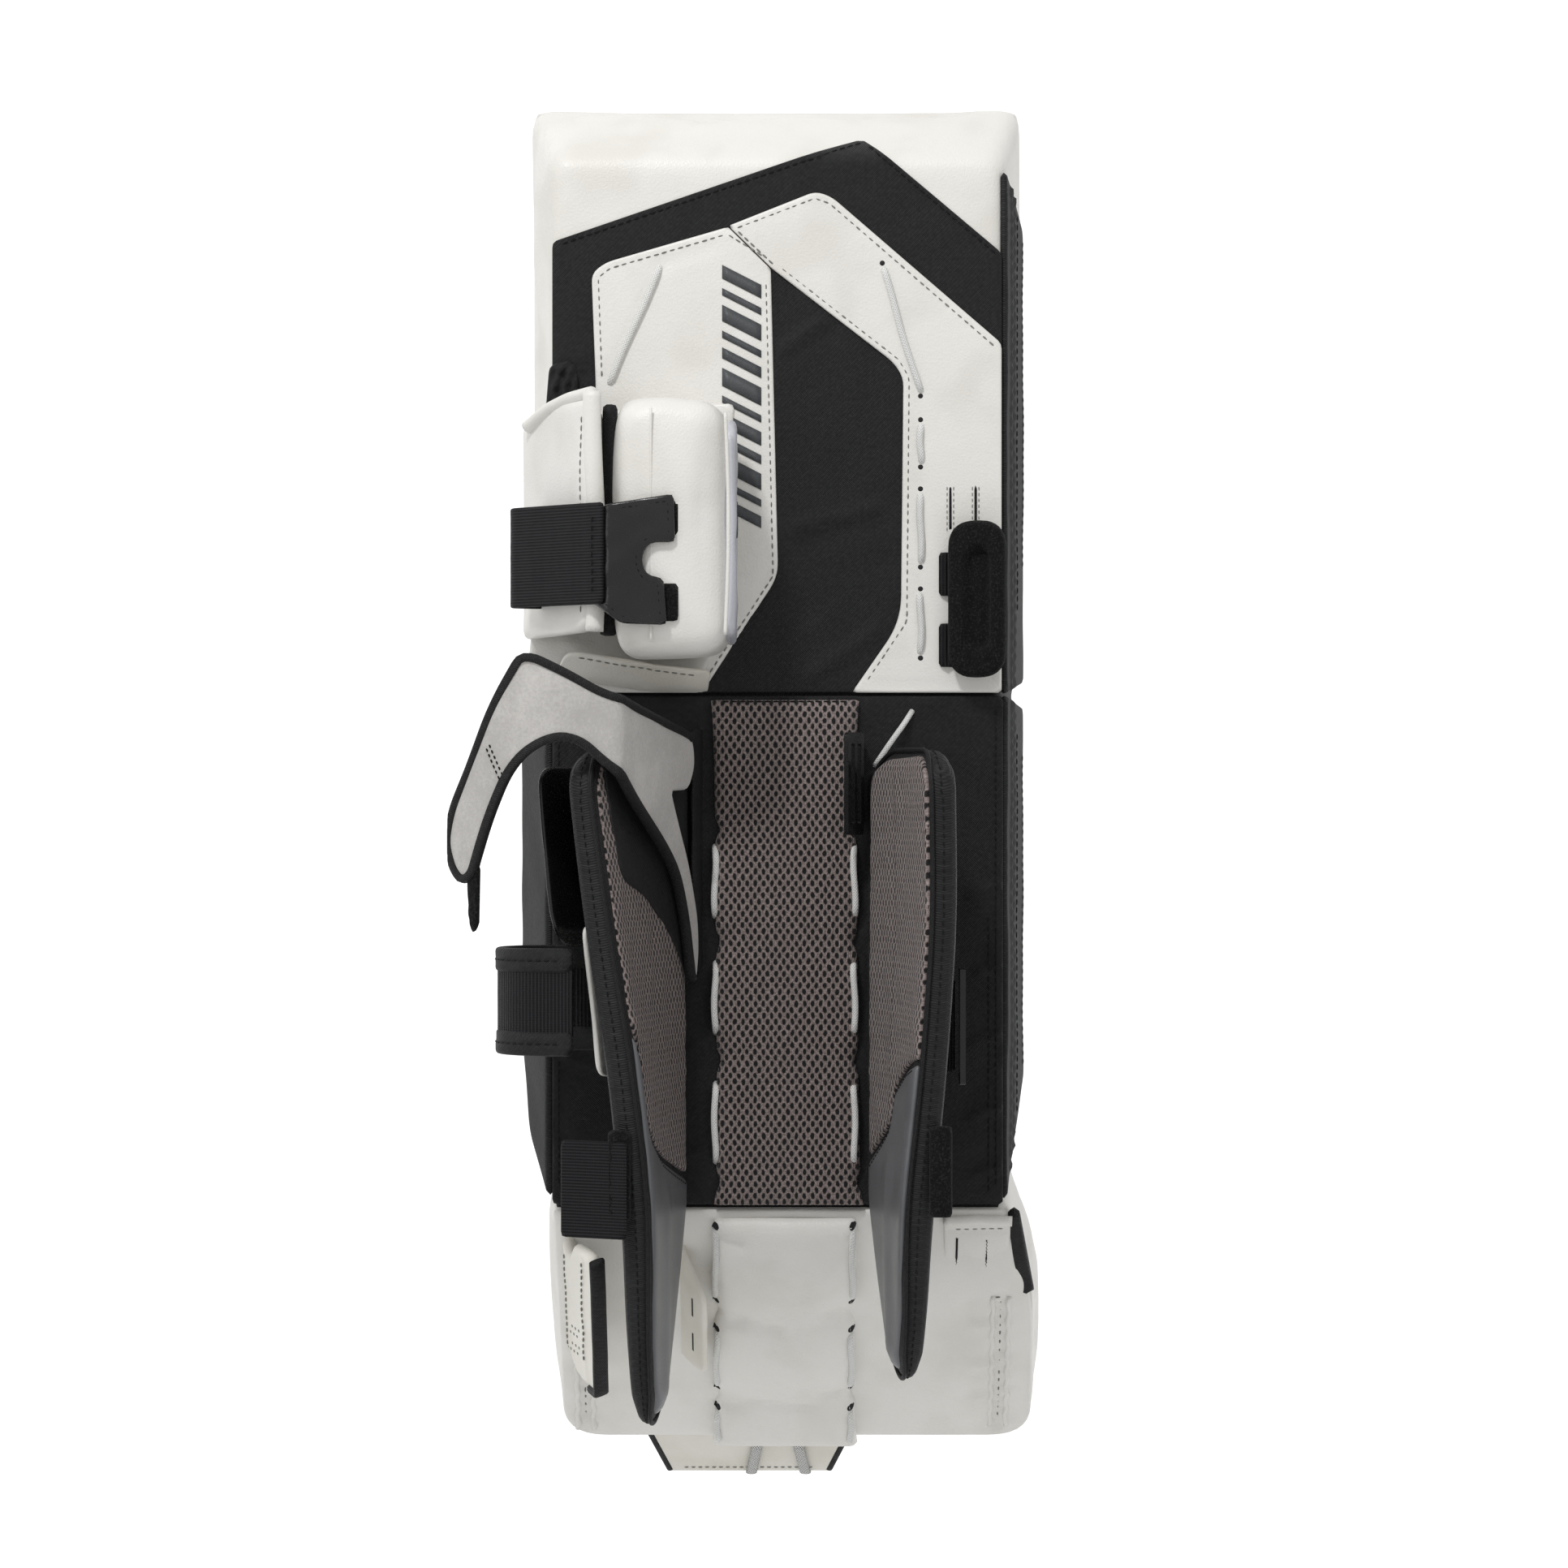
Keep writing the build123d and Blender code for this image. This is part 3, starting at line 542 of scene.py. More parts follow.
class Panel:
    """An outline on a surface, with a height for its face and for its underside."""

    def __init__(self, place, outline, top, bottom=0.0, edge=2.0, relief=None):
        self.place = place
        self.outline = resample(outline, 2.5)
        self.top, self.bottom, self.edge, self.relief = top, bottom, edge, relief

    def levels(self, points):
        """Face and underside heights at points, rounded off towards the outline."""
        away = distance(points, self.outline)
        u, v = points[:, 0], points[:, 1]
        top = self.top(u, v, away) if callable(self.top) else np.full(len(points), self.top)
        bottom = self.bottom(u, v) if callable(self.bottom) else np.full(len(points), self.bottom)
        middle, half = (top + bottom) / 2, (top - bottom) / 2
        share = quarter(away, self.edge)
        face = middle + half * share
        if self.relief is not None:
            face = face + self.relief(u, v, away) * np.clip(away / self.edge, 0, 1)
        return face, middle - half * share

    def on(self, path, lift=0.0):
        """Frame points on the panel's face along a path."""
        path = np.asarray(path, float)
        face, _ = self.levels(path)
        return self.place(path[:, 0], path[:, 1], face + lift)

    def build(self, name, material, body, step=4.0):
        outline = self.outline
        rings = [inset(outline, d) for d in (0.15 * self.edge, 0.45 * self.edge, self.edge)]
        low, high = outline.min(0), outline.max(0)
        u, v = np.meshgrid(np.arange(low[0], high[0], step), np.arange(low[1], high[1], step))
        u[::2] += step / 2
        grid = np.stack([u.ravel(), v.ravel()], 1)
        grid = grid[inside(grid, outline)]
        grid = grid[distance(grid, outline) > self.edge + 0.5 * step]
        spots = np.vstack([outline, *rings, grid])
        loop = [(i, (i + 1) % len(outline)) for i in range(len(outline))]
        verts, _, tris, *_ = geometry.delaunay_2d_cdt([Vector(p) for p in spots], loop, [], 1, 1e-4)
        flat = np.array([tuple(p) for p in verts])
        face, under = self.levels(flat)
        points = np.vstack([self.place(flat[:, 0], flat[:, 1], face),
                            self.place(flat[:, 0], flat[:, 1], under)])
        count = len(flat)
        faces = [tuple(t) for t in tris] + [tuple(i + count for i in reversed(t)) for t in tris]
        piece = new_piece(name, points, faces, material, None, np.vstack([flat, flat]))
        return attach(tidy_normals(piece), body)


def tube(name, points, radius, material, body, sides=10, flat=1.0, closed=False, across=None):
    """A round or flattened tube along points, with coordinates round and along it."""
    points = np.asarray(points, float)
    run = np.gradient(points, axis=0)
    if closed:
        run = np.roll(points, -1, axis=0) - np.roll(points, 1, axis=0)
    run /= np.maximum(np.linalg.norm(run, axis=1), 1e-9)[:, None]
    side = np.cross(run[0], [0.3, 0.5, 0.8]) if across is None else np.array(across, float)
    rings, uv, gone = [], [], 0.0
    count = len(points) + (1 if closed else 0)
    for i in range(count):
        j = i % len(points)
        if i:
            gone += np.linalg.norm(points[j] - points[(i - 1) % len(points)])
        side = (side if across is None else np.array(across, float)) - run[j] * (side @ run[j])
        side /= np.linalg.norm(side)
        up = np.cross(run[j], side)
        for k in range(sides + 1):
            a = 2 * math.pi * k / sides
            rings.append(points[j] + radius * (math.cos(a) * side + flat * math.sin(a) * up))
            uv.append((radius * a, gone))
    wide = sides + 1
    faces = [(i * wide + k, i * wide + k + 1, (i + 1) * wide + k + 1, (i + 1) * wide + k)
             for i in range(count - 1) for k in range(sides)]
    if not closed:
        faces += [tuple(range(sides)), tuple((count - 1) * wide + k for k in reversed(range(sides)))]
    return attach(tidy_normals(new_piece(name, rings, faces, material, None, uv)), body)


def stitches(name, panel, paths, body, material=None, pitch=4.6, length=3.5, radius=0.5, lift=0.1):
    """Rows of sewn thread on a panel, as one mesh of short rounded stitches."""
    points, faces, uv = [], [], []
    for path in paths:
        fine = resample(path, 0.6, closed=False)
        gone = np.concatenate([[0], np.cumsum(np.linalg.norm(np.diff(fine, axis=0), axis=1))])
        starts = np.arange(pitch / 2, gone[-1] - length, pitch)
        if not len(starts):
            continue
        first, last = (panel.on(np.stack([np.interp(at, gone, fine[:, i]) for i in (0, 1)], 1), lift)
                       for at in (starts, starts + length))
        for a, b in zip(first, last):
            base = len(points)
            run = (b - a) / max(np.linalg.norm(b - a), 1e-9)
            side = np.cross(run, [0, 1, 0.2])
            side /= max(np.linalg.norm(side), 1e-9)
            up = np.cross(run, side)
            points.append(a)
            for share, wide in ((0.18, 0.85), (0.5, 1.1), (0.82, 0.85)):
                for k in range(5):
                    turn = 2 * math.pi * k / 5
                    points.append(a + (b - a) * share
                                  + radius * wide * (math.cos(turn) * side + math.sin(turn) * up))
            points.append(b)
            for k in range(5):
                n = (k + 1) % 5
                faces.append((base, base + 1 + n, base + 1 + k))
                for r in (0, 5):
                    faces.append((base + 1 + r + k, base + 1 + r + n, base + 6 + r + n, base + 6 + r + k))
                faces.append((base + 11 + k, base + 11 + n, base + 16))
            uv += [(0, i) for i in range(17)]
    return new_piece(name, points, faces, material or SHADE_GREY_THREAD, body, uv)


def edge_binding(name, panel, body, wide, half, path):
    """Tape folded over a stretch of a panel's edge."""
    path = resample(path, 3.0, closed=False)
    face, under = panel.levels(path)
    run = np.gradient(path, axis=0)
    normal = np.stack([-run[:, 1], run[:, 0]], 1)
    normal /= np.maximum(np.linalg.norm(normal, axis=1), 1e-9)[:, None]
    points, uv, gone = [], [], 0.0
    corners = BINDING_CORNERS
    for i, (spot, n, level) in enumerate(zip(path, normal, (face + under) / 2)):
        if i:
            gone += np.linalg.norm(path[i] - path[i - 1])
        for k in range(corners):
            a = 2 * math.pi * k / corners
            c, s = math.cos(a), math.sin(a)
            du = math.copysign(abs(c) ** BINDING_POWER, c) * wide
            dh = math.copysign(abs(s) ** BINDING_POWER, s) * half
            at = spot + n * du
            points.append(panel.place(at[:1], at[1:], np.array([level + dh]))[0])
            uv.append((wide * a, gone))
    last = len(path) - 1
    faces = [(i * corners + k, i * corners + (k + 1) % corners,
              (i + 1) * corners + (k + 1) % corners, (i + 1) * corners + k)
             for i in range(last) for k in range(corners)]
    faces += [tuple(range(corners)), tuple(last * corners + k for k in range(corners))]
    return attach(tidy_normals(new_piece(name, points, faces, BLACK, None, uv)), body)


def solid_from(corners, bevel, name, material):
    """A rounded convex solid around corner points."""
    work = bmesh.new()
    for corner in corners:
        work.verts.new(Vector(corner) * MM)
    bmesh.ops.convex_hull(work, input=work.verts)
    bmesh.ops.dissolve_limit(work, angle_limit=0.03, verts=work.verts, edges=work.edges)
    bmesh.ops.bevel(work, geom=work.edges[:], offset=bevel * MM, segments=5, profile=0.5,
                    affect="EDGES", clamp_overlap=True)
    mesh = bpy.data.meshes.new(name)
    work.to_mesh(mesh)
    work.free()
    mesh.materials.append(material)
    piece = bpy.data.objects.new(name, mesh)
    bpy.context.scene.collection.objects.link(piece)
    return piece


def apply_modifiers(piece):
    graph = bpy.context.evaluated_depsgraph_get()
    mesh = bpy.data.meshes.new_from_object(piece.evaluated_get(graph))
    old = piece.data
    piece.modifiers.clear()
    piece.data = mesh
    bpy.data.meshes.remove(old)
    return piece


def remesh(piece, voxel):
    """An even mesh of the same shape, ready to be puffed up."""
    modifier = piece.modifiers.new("even", "REMESH")
    modifier.mode = "VOXEL"
    modifier.voxel_size = voxel * MM
    smooth = piece.modifiers.new("smooth", "SMOOTH")
    smooth.iterations = 4
    return apply_modifiers(piece)


def puff(piece, cap, hold):
    """Swells a cover by cloth pressure. hold(points) says how free each point is, 0 to 1."""
    rest = np.array([v.co for v in piece.data.vertices])
    outward = np.array([v.normal for v in piece.data.vertices])
    cloth = piece.modifiers.new("swell", "CLOTH")
    settings = cloth.settings
    settings.quality = 5
    settings.tension_stiffness = settings.compression_stiffness = 18
    settings.bending_stiffness = 2.0
    settings.use_pressure = True
    settings.uniform_pressure_force = SWELL_PRESSURE
    settings.effector_weights.gravity = 0
    cloth.collision_settings.use_collision = False
    for number in range(1, SWELL_FRAMES + 1):
        bpy.context.scene.frame_set(number)
    graph = bpy.context.evaluated_depsgraph_get()
    swollen = piece.evaluated_get(graph).to_mesh()
    move = np.array([v.co for v in swollen.vertices]) - rest
    piece.evaluated_get(graph).to_mesh_clear()
    piece.modifiers.clear()
    bpy.context.scene.frame_set(1)
    inward = np.minimum((move * outward).sum(axis=1), 0)
    move -= INWARD_TAKEN_OUT * inward[:, None] * outward
    size = np.linalg.norm(move, axis=1)
    limit = cap * MM * hold(rest / MM)
    move *= (limit * np.tanh(size / np.maximum(limit, 1e-9)) / np.maximum(size, 1e-9))[:, None]
    piece.data.vertices.foreach_set("co", (rest + move).astype(np.float32).ravel())
    piece.data.update()
    smooth = piece.modifiers.new("smooth", "SMOOTH")
    smooth.iterations = 2
    apply_modifiers(piece)
    piece.data.shade_smooth()
    return piece


def padded(piece, fill, *nodes):
    """Hides the CAD nodes that a padded piece stands for."""
    if nodes:
        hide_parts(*nodes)
    return piece


def dress(piece, slot, *nodes):
    """Hides the CAD nodes that a piece stands for."""
    if nodes:
        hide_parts(*nodes)
    return piece


# ---- Padded body: thigh, shin and boot covers ----


THIGH_SEAMS = (243, 330, 405)
SHIN_SEAMS = (60, -20)


def free_of_back(points):
    """Lets a cover swell except on its leg side, at the knee break and under the outer nylon strip."""
    x, y, z = points.T
    side = np.clip((112 - x) / 10, 0, 1) * np.clip((np.abs(z - KNEE_Z) - 6) / 16, 0.1, 1)
    deep, shallow = np.clip((y - BACK_Y - 22) / 14, 0, 1), np.clip((y - BACK_Y - 4) / 10, 0, 1)
    return deep * side + 0.25 * shallow * side


def free_of_side(points):
    """As above, and holds the boot break and the inner side wall, which a nylon strip lies on."""
    x, y, z = points.T
    depth = (y - BACK_Y) / (FRONT_Y - BACK_Y)
    wall, foot = INNER_BACK_X - 22 * depth, BREAK_Z + 70 * depth
    return free_of_back(points) * np.clip((x - wall - 2) / 10, 0.1, 1) * np.clip((z - foot - 4) / 16, 0.1, 1)


def seam_grooves(cover, heights):
    """Draws the cover in along the rows of stitching across its face."""
    for vertex in cover.data.vertices:
        x, y, z = vertex.co / MM
        pull = sum(math.exp(-(((z - at) / 4.5) ** 2)) for at in heights)
        if y > FRONT_Y - 12:
            vertex.co.y -= 2.6 * MM * pull * min(max((x + 142) / 12, 0), 1)


class Draped:
    """The outside of a finished cover, as a surface that stitches follow."""

    def __init__(self, cover):
        mesh = cover.data
        self.tree = bvhtree.BVHTree.FromPolygons([v.co for v in mesh.vertices],
                                                 [p.vertices for p in mesh.polygons])

    def on(self, path, lift=0.0):
        found = []
        for u, v in np.asarray(path, float):
            hit = self.tree.ray_cast(Vector((u, FRONT_Y + 60, v)) * MM, Vector((0, -1, 0)))[0]
            found.append((u, hit.y / MM + lift, v))
        return np.array(found)


def body_corners(low_back, low_front, high_back, high_front):
    """The eight corners of a body section, from the heights of its ends at the back and front."""
    made = []
    for back_z, front_z in ((low_back, low_front), (high_back, high_front)):
        made += [(INNER_BACK_X, BACK_Y, back_z), (OUTER_BACK_X, BACK_Y, back_z),
                 (OUTER_FRONT_X, FRONT_Y, front_z), (INNER_FRONT_X, FRONT_Y, front_z)]
    return made


def make_thigh_cover():
    cover = solid_from(body_corners(KNEE_Z + 0.6, 147.6, TOP_BACK_Z, 475), 7, "thigh_cover", WHITE)
    cover = puff(remesh(cover, 4.5), 5, free_of_back)
    seam_grooves(cover, THIGH_SEAMS)
    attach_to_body(cover, "thigh")
    return padded(cover, 0.8, "thigh_face", "thigh_foam", "thigh_stiffener", "thigh_back_skin")


def make_shin_cover():
    corners = [(x - 5 if x == INNER_FRONT_X else x, y, z)
               for x, y, z in body_corners(BREAK_Z + 0.6, -70.2, KNEE_Z - 0.6, 132.4)]
    cover = solid_from(corners, 7, "shin_cover", WHITE)
    cover = puff(remesh(cover, 4.5), 5, free_of_side)
    seam_grooves(cover, SHIN_SEAMS)
    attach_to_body(cover, "shin")
    return padded(cover, 0.8, "shin_face", "shin_foam", "shin_stiffener")


def make_boot_cover():
    plan = rounded([(-128, -0.6, 4), (-127, -BOOT_LENGTH, 26), (143, -BOOT_LENGTH, 26),
                    (141, -62, 40), (124, -0.6, 4)])
    points = []
    for height in (0, -BOOT_DEPTH):
        points += [tuple(p) for p in boot(plan[:, 0], plan[:, 1], np.full(len(plan), height))]
    cover = solid_from(points, 6, "boot_cover", WHITE)

    def free(at):
        y, z = at[:, 1] - BACK_Y, at[:, 2] - BREAK_Z
        depth = y * math.cos(BOOT_TILT) + z * math.sin(BOOT_TILT)
        along = z * math.cos(BOOT_TILT) - y * math.sin(BOOT_TILT)
        return np.clip((depth - 1) / 14, 0, 1) * np.clip(-along / 20, 0, 1)

    cover = puff(remesh(cover, 4.5), 7, free)
    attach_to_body(cover, "boot")
    return padded(cover, 0.8, "boot_face", "boot_foam", "boot_back_skin")


def make_break_filler(name, hinge_z, tilt):
    """The soft pleat inside a flex break: a wedge between its two sections."""
    rows, points = 7, []
    for k in range(rows):
        share = k / (rows - 1)
        angle = tilt + math.radians(-6 + 12 * share)
        for x0, x1, y in ((-125, 118, BACK_Y + 3), (-139, 130.5, FRONT_Y - 6)):
            z = hinge_z + (y - BACK_Y) * math.tan(angle) + (share - 0.5) * 5
            pinch = 2.5 * math.sin(math.pi * share)
            points += [(x0 + pinch, y, z), (x1 - pinch, y, z)]
    faces = []
    for k in range(rows - 1):
        a, b = 4 * k, 4 * (k + 1)
        for i, j in ((0, 1), (1, 3), (3, 2), (2, 0)):
            faces.append((a + i, a + j, b + j, b + i))
    faces += [(0, 2, 3, 1), (4 * rows - 4, 4 * rows - 3, 4 * rows - 1, 4 * rows - 2)]
    uv = [(p[0] + p[1], p[2]) for p in points]
    piece = new_piece(name, points, faces, BLACK, None, uv)
    tidy_normals(piece)
    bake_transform(piece)
    return piece


def make_rolls():
    """Half-round rolls on the face: two on the thigh, one on the shin, and the outer edge's."""
    knee, outer = (-138, 90, 17.6), (91.5, 133, 20.4)
    for name, (x0, x1, height), z0, z1, body, *nodes in (
            ("thigh_knee_roll_0", knee, 151, 187, "thigh", "thigh_knee_rolls"),
            ("thigh_knee_roll_1", knee, 188, 224, "thigh"),
            ("shin_knee_roll_cover", knee, 94, 130, "shin", "shin_knee_roll"),
            ("thigh_outer_roll_cover", outer, 150, 446, "thigh", "thigh_outer_roll"),
            ("shin_outer_roll_cover", outer, -66, 131, "shin", "shin_outer_roll")):
        panel = Panel(front, oblong(x0, z0, x1, z1, 9),
                      lambda u, v, away, rise=height: rise + 0.6 * soft(u, v, 30, 5), -4,
                      edge=height * 0.98)
        padded(panel.build(name, WHITE, body, 4.5), 0.85, *nodes)


def make_gussets():
    """The black woven strip down the outer side, with two corded grooves, and the inner side's."""
    right, left = side_wall(1), side_wall(-1)

    def grooves(u, v, away):
        cords = sum(np.exp(-(((u - at) / 1.6) ** 2)) for at in (15.0, 24.0))
        return 1.5 * cords + 0.4 * soft(u, v, 60, 3)

    for name, body, low, high, node in (("thigh_gusset_strip", "thigh", 140.4, 428, "thigh_gusset"),
                                        ("shin_gusset_strip", "shin", -139, 139.6, "shin_gusset")):
        corners = [(1, low, 2), (58, low + (7 if body == "thigh" else 66), 3),
                   (58, high - (26 if body == "thigh" else 6), 6 if body == "thigh" else 3), (1, high, 2)]
        panel = Panel(right, rounded(corners), 1.6, -2.5, edge=1.6, relief=grooves)
        dress(panel.build(name, BLACK, body, 3.5), "black_nylon", node)
        rows = [[(34, low + 45), (34, high - 20)], [(54, low + 70), (54, high - 30)]]
        stitches(f"{name}_stitches", panel, rows, body, DARK_THREAD_AND_HOLE_SHADE)
    inner = Panel(left, rounded([(1, -137, 2), (32, -104, 8), (48, -60, 20), (50, 134, 3), (1, 138, 2)]),
                  lambda u, v, away: 2.6 + 0.09 * u + 0.4 * soft(u, v, 40, 9), -2.5, edge=2.2)
    dress(inner.build("shin_inner_gusset", BLACK, "shin", 3.5), "black_nylon")


def make_face_seams():
    """Stitched seams across the blocking face."""
    for body, heights in (("thigh", THIGH_SEAMS), ("shin", SHIN_SEAMS)):
        rows = [[(-134, z + side), (88, z + side)] for z in heights for side in (-3.2, 3.2)]
        piece = stitches(f"{body}_face_seams", Draped(bpy.data.objects[f"{body}_cover"]), rows, body)


# ---- Thigh back: chevron, yoke, laces ----

THIGH_NYLON = [(-127.5, 141, 2), (119.8, 141, 2), (119.8, 383, 3), (43.2, 447.5, 1), (-127.5, 389, 3)]
YOKE_LEFT = [(-104.5, 141, 2), (-45, 141, 3), (-3.2, 205, 8), (-7.2, 373.8, 1), (-30.8, 397, 1),
             (-98, 377.5, 9), (-105.8, 371.5, 9), (-103.5, 310, 8)]
YOKE_RIGHT = [(-30.6, 397.6, 1), (-6.8, 374.2, 1), (60.2, 322.5, 8), (65.6, 314, 12),
              (64.2, 180, 14), (37.2, 141, 2), (119.6, 141, 2), (119.6, 333, 3),
              (26.3, 413.5, 10), (17.4, 416.6, 8)]


def make_thigh_back():
    wrinkles = [((8, 232), (52, 243)), ((20, 218), (58, 222)), ((-38, 158), (-8, 190)),
                ((-2, 160), (38, 196)), ((14, 150), (52, 176)), ((30, 200), (60, 205)),
                ((0, 330), (22, 346)), ((-118, 300), (-108, 330)), ((-120, 292), (-106, 312))]

    def cloth_relief(u, v, away):
        return 0.45 * soft(u, v, 26, 1) + cross_folds(u, v, wrinkles, 2.4, 3.0)

    nylon_panel = Panel(back, rounded(THIGH_NYLON), 1.1, -1, edge=1.0, relief=cloth_relief)
    dress(nylon_panel.build("thigh_nylon_sheet", BLACK, "thigh", 4), "black_nylon", "thigh_nylon_panel")
    stitches("thigh_nylon_stitches", nylon_panel,
             [[(-124, 387), (42.8, 444)], [(45, 443), (116.5, 382.5)]],
             "thigh", DARK_THREAD_AND_HOLE_SHADE)

    def yoke_relief(u, v, away):
        creases = cross_folds(u, v, [((-70, 376), (-40, 386)), ((56, 376), (80, 360)),
                                     ((-66, 377), (-98, 312)), ((55, 375), (76, 308)),
                                     ((74, 302), (76, 165))], -0.7, 3.5)
        return 0.3 * soft(u, v, 34, 4) + creases - 0.5 * np.exp(-(((away - 3.2) / 1.3) ** 2))

    made = {}
    for name, outline, node in (("yoke_left", YOKE_LEFT, "thigh_yoke_left"),
                                ("yoke_right", YOKE_RIGHT, "thigh_yoke_right")):
        panel = Panel(back, rounded(outline), 3.0, 0.6, edge=1.6, relief=yoke_relief)
        piece = panel.build(name, WHITE, "thigh", 3.5)
        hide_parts(node)
        made[name] = panel
    left, right = made["yoke_left"], made["yoke_right"]
    stitches("yoke_left_stitches", left,
             [[(-42, 150), (-6, 205), (-10, 370)], [(-31, 393), (-96, 374), (-102, 369), (-100, 312)],
              [(-10, 380), (-33, 394)]], "thigh")
    stitches("yoke_right_stitches", right,
             [[(-3, 375.5), (63, 324), (68.8, 314), (67.5, 180), (44, 145)],
              [(-28, 395.5), (17, 412.6), (25, 409.8), (116, 331)],
              [(-27, 396), (-4, 374.5)]], "thigh")
    return left, right


def make_print(yoke):
    """A generic printed strip on the yoke: slanted bars of several widths."""
    z = 376.0
    widths = (7.5, 4.0, 9.0, 4.0, 6.0, 10.0, 4.0, 7.5, 5.0, 9.0, 4.0, 6.5)
    points, faces, uv = [], [], []
    x0, x1, slant = -34.0, -12.5, 11.0
    for wide in widths:
        corners = [(x0, z), (x1, z - slant), (x1, z - slant - wide), (x0, z - wide)]
        rows = [yoke.on(np.array([np.array(a) + (np.array(b) - a) * t for t in np.linspace(0, 1, 7)]), 0.15)
                for a, b in ((corners[0], corners[1]), (corners[3], corners[2]))]
        base = len(points)
        points += list(rows[0]) + list(rows[1])
        uv += [(0, 0)] * 14
        faces += [(base + i, base + i + 1, base + 8 + i, base + 7 + i) for i in range(6)]
        z -= wide + 5.2
    piece = new_piece("yoke_print", points, faces, PRINT, "thigh", uv)
    solid = piece.modifiers.new("thickness", "SOLIDIFY")
    solid.thickness = 0.25 * MM
    return piece


def lace_run(name, rows, body, nodes, radius=1.9, dip=4.0):
    """Visible runs of round lace that rise out of a hole and go back into the next one."""
    made = None
    for i, (panel, start, end) in enumerate(rows):
        start, end = np.array(start, float), np.array(end, float)
        reach = np.linalg.norm(end - start)
        along = (end - start) / reach
        share = np.linspace(0, 1, max(14, int(reach / 2)))
        at = start + (end - start) * share[:, None]
        sway = 0.5 * np.sin(share * math.pi * 2 + i)
        at = at + sway[:, None] * np.array([-along[1], along[0]])
        face, _ = panel.levels(at)
        rise = radius * 0.75 - dip * (np.exp(-share * reach / 1.8) + np.exp(-(1 - share) * reach / 1.8))
        run = panel.place(at[:, 0], at[:, 1], face + rise)
        piece = dress(tube(f"{name}_{i}", run, radius, LACE, body), "white_lace")
        made = made or piece
    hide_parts(*nodes)


def eyelets(name, panel, spots, body, radius=2.0):
    """Punched holes, as one mesh of thin discs painted dark: painted shade inside the holes."""
    points, faces, uv = [], [], []
    for spot in spots:
        base = len(points)
        a = np.linspace(0, 2 * math.pi, 14, endpoint=False)
        ring = np.stack([spot[0] + radius * np.cos(a), spot[1] + radius * np.sin(a)], 1)
        points += list(panel.on(ring, -0.2)) + list(panel.on(spot + 0.8 * (ring - spot), 0.12))
        uv += [(0, 0)] * 28
        faces += [(base + k, base + (k + 1) % 14, base + 14 + (k + 1) % 14, base + 14 + k)
                  for k in range(14)]
        faces.append(tuple(base + 14 + k for k in range(14)))
    # The discs are painted dark: painted shade inside the holes.
    return new_piece(name, points, faces, DARK_THREAD_AND_HOLE_SHADE, body, uv)


def make_thigh_laces(left, right):
    rows = [(left, (-68, 376), (-96, 310)),
            (right, (54, 375), (75, 306)), (right, (75, 289), (75, 267)),
            (right, (75, 251), (75, 212)), (right, (75, 196), (75, 162))]
    lace_run("thigh_lace", rows, "thigh", ["thigh_laces"])
    eyelets("yoke_eyelets", right, [(54, 377), (75, 304), (75, 291), (75, 265), (75, 253),
                                    (75, 210), (75, 198), (75, 160)], "thigh", 1.7)
    for i, x in enumerate((91.4, 105.3)):
        slit = Panel(back, oblong(x - 0.7, 230, x + 0.7, 255, 0.7),
                     3.35, 2.6, edge=0.3)
        # The slit's dark fill is painted shade in the opening.
        slit.build(f"yoke_slit_{i}", DARK_THREAD_AND_HOLE_SHADE, "thigh", 2)
        stitches(f"yoke_slit_stitches_{i}", right,
                 [[(x + side, 228), (x + side, 257)] for side in (-1.8, 1.8)], "thigh",
                 pitch=3.2, length=2.2, radius=0.28)


# ---- Shin back and mesh bed ----


def make_shin_back():
    pleats = [((104, z), (119, z + 5)) for z in (30, 8, -14, -34, -52, -72, -92, -108, -124)]
    pleats += [((46, z), (58, z - 9)) for z in (40, 12, -20)]
    pleats += [((-62, z), (-44, z + 8)) for z in (64, 40, 6, -30, -60, -96, -118)]
    pleats += [((-120, z), (-104, z - 4)) for z in (90, 40, -10, -60, -100)]

    def relief(u, v, away):
        return 0.5 * soft(u, v, 22, 2) + cross_folds(u, v, pleats, 2.3, 1.8)

    outline = [(-127.5, -140.5, 3), (120.5, -140.5, 3), (120.5, 139.4, 3), (-127.5, 139.4, 3)]
    panel = Panel(back, rounded(outline), 1.2, -1.5, edge=1.2, relief=relief)
    dress(panel.build("shin_nylon_sheet", BLACK, "shin", 3.2), "black_nylon", "shin_back_skin")
    stitches("shin_nylon_stitches", panel,
             [[(116.5, 134), (116.5, -134)], [(112.5, 20), (112.5, -134)], [(-124, 134), (-124, -134)]],
             "shin", DARK_THREAD_AND_HOLE_SHADE)


def bed_half(v, low, high, pinches, wide):
    """Half width of a laced pad: it pulls in where the lace dives under."""
    end = np.minimum(np.abs(v - low), np.abs(high - v))
    half = wide + 2.0 * np.exp(-end / 16)
    for z in pinches:
        half = half - 2.4 * np.exp(-(((v - z) / 4.5) ** 2))
    return half


def laced_panel(place, low, high, pinches, height, wide, shift, relief=None):
    """A laced pad's panel: its outline is pinched at the lace holes and its crown falls to them."""
    v = np.arange(low, high, 2.5)
    half = bed_half(v, low, high, pinches, wide)
    outline = np.vstack([np.stack([half + shift(v), v], 1), np.stack([-half + shift(v), v], 1)[::-1]])

    def top(u, v_, away):
        pull = sum(np.exp(-(((v_ - z) / 9) ** 2)) for z in pinches)
        return height - 2.2 * pull * np.exp(-away / 9) + (relief(u, v_, away) if relief else 0)

    return Panel(place, outline, top, -1.0, edge=6.5)


BED_ROWS = [(57, 18), (-7, -46), (-74, -117)]
BED_PINCHES = [66, 4, -61, -128]


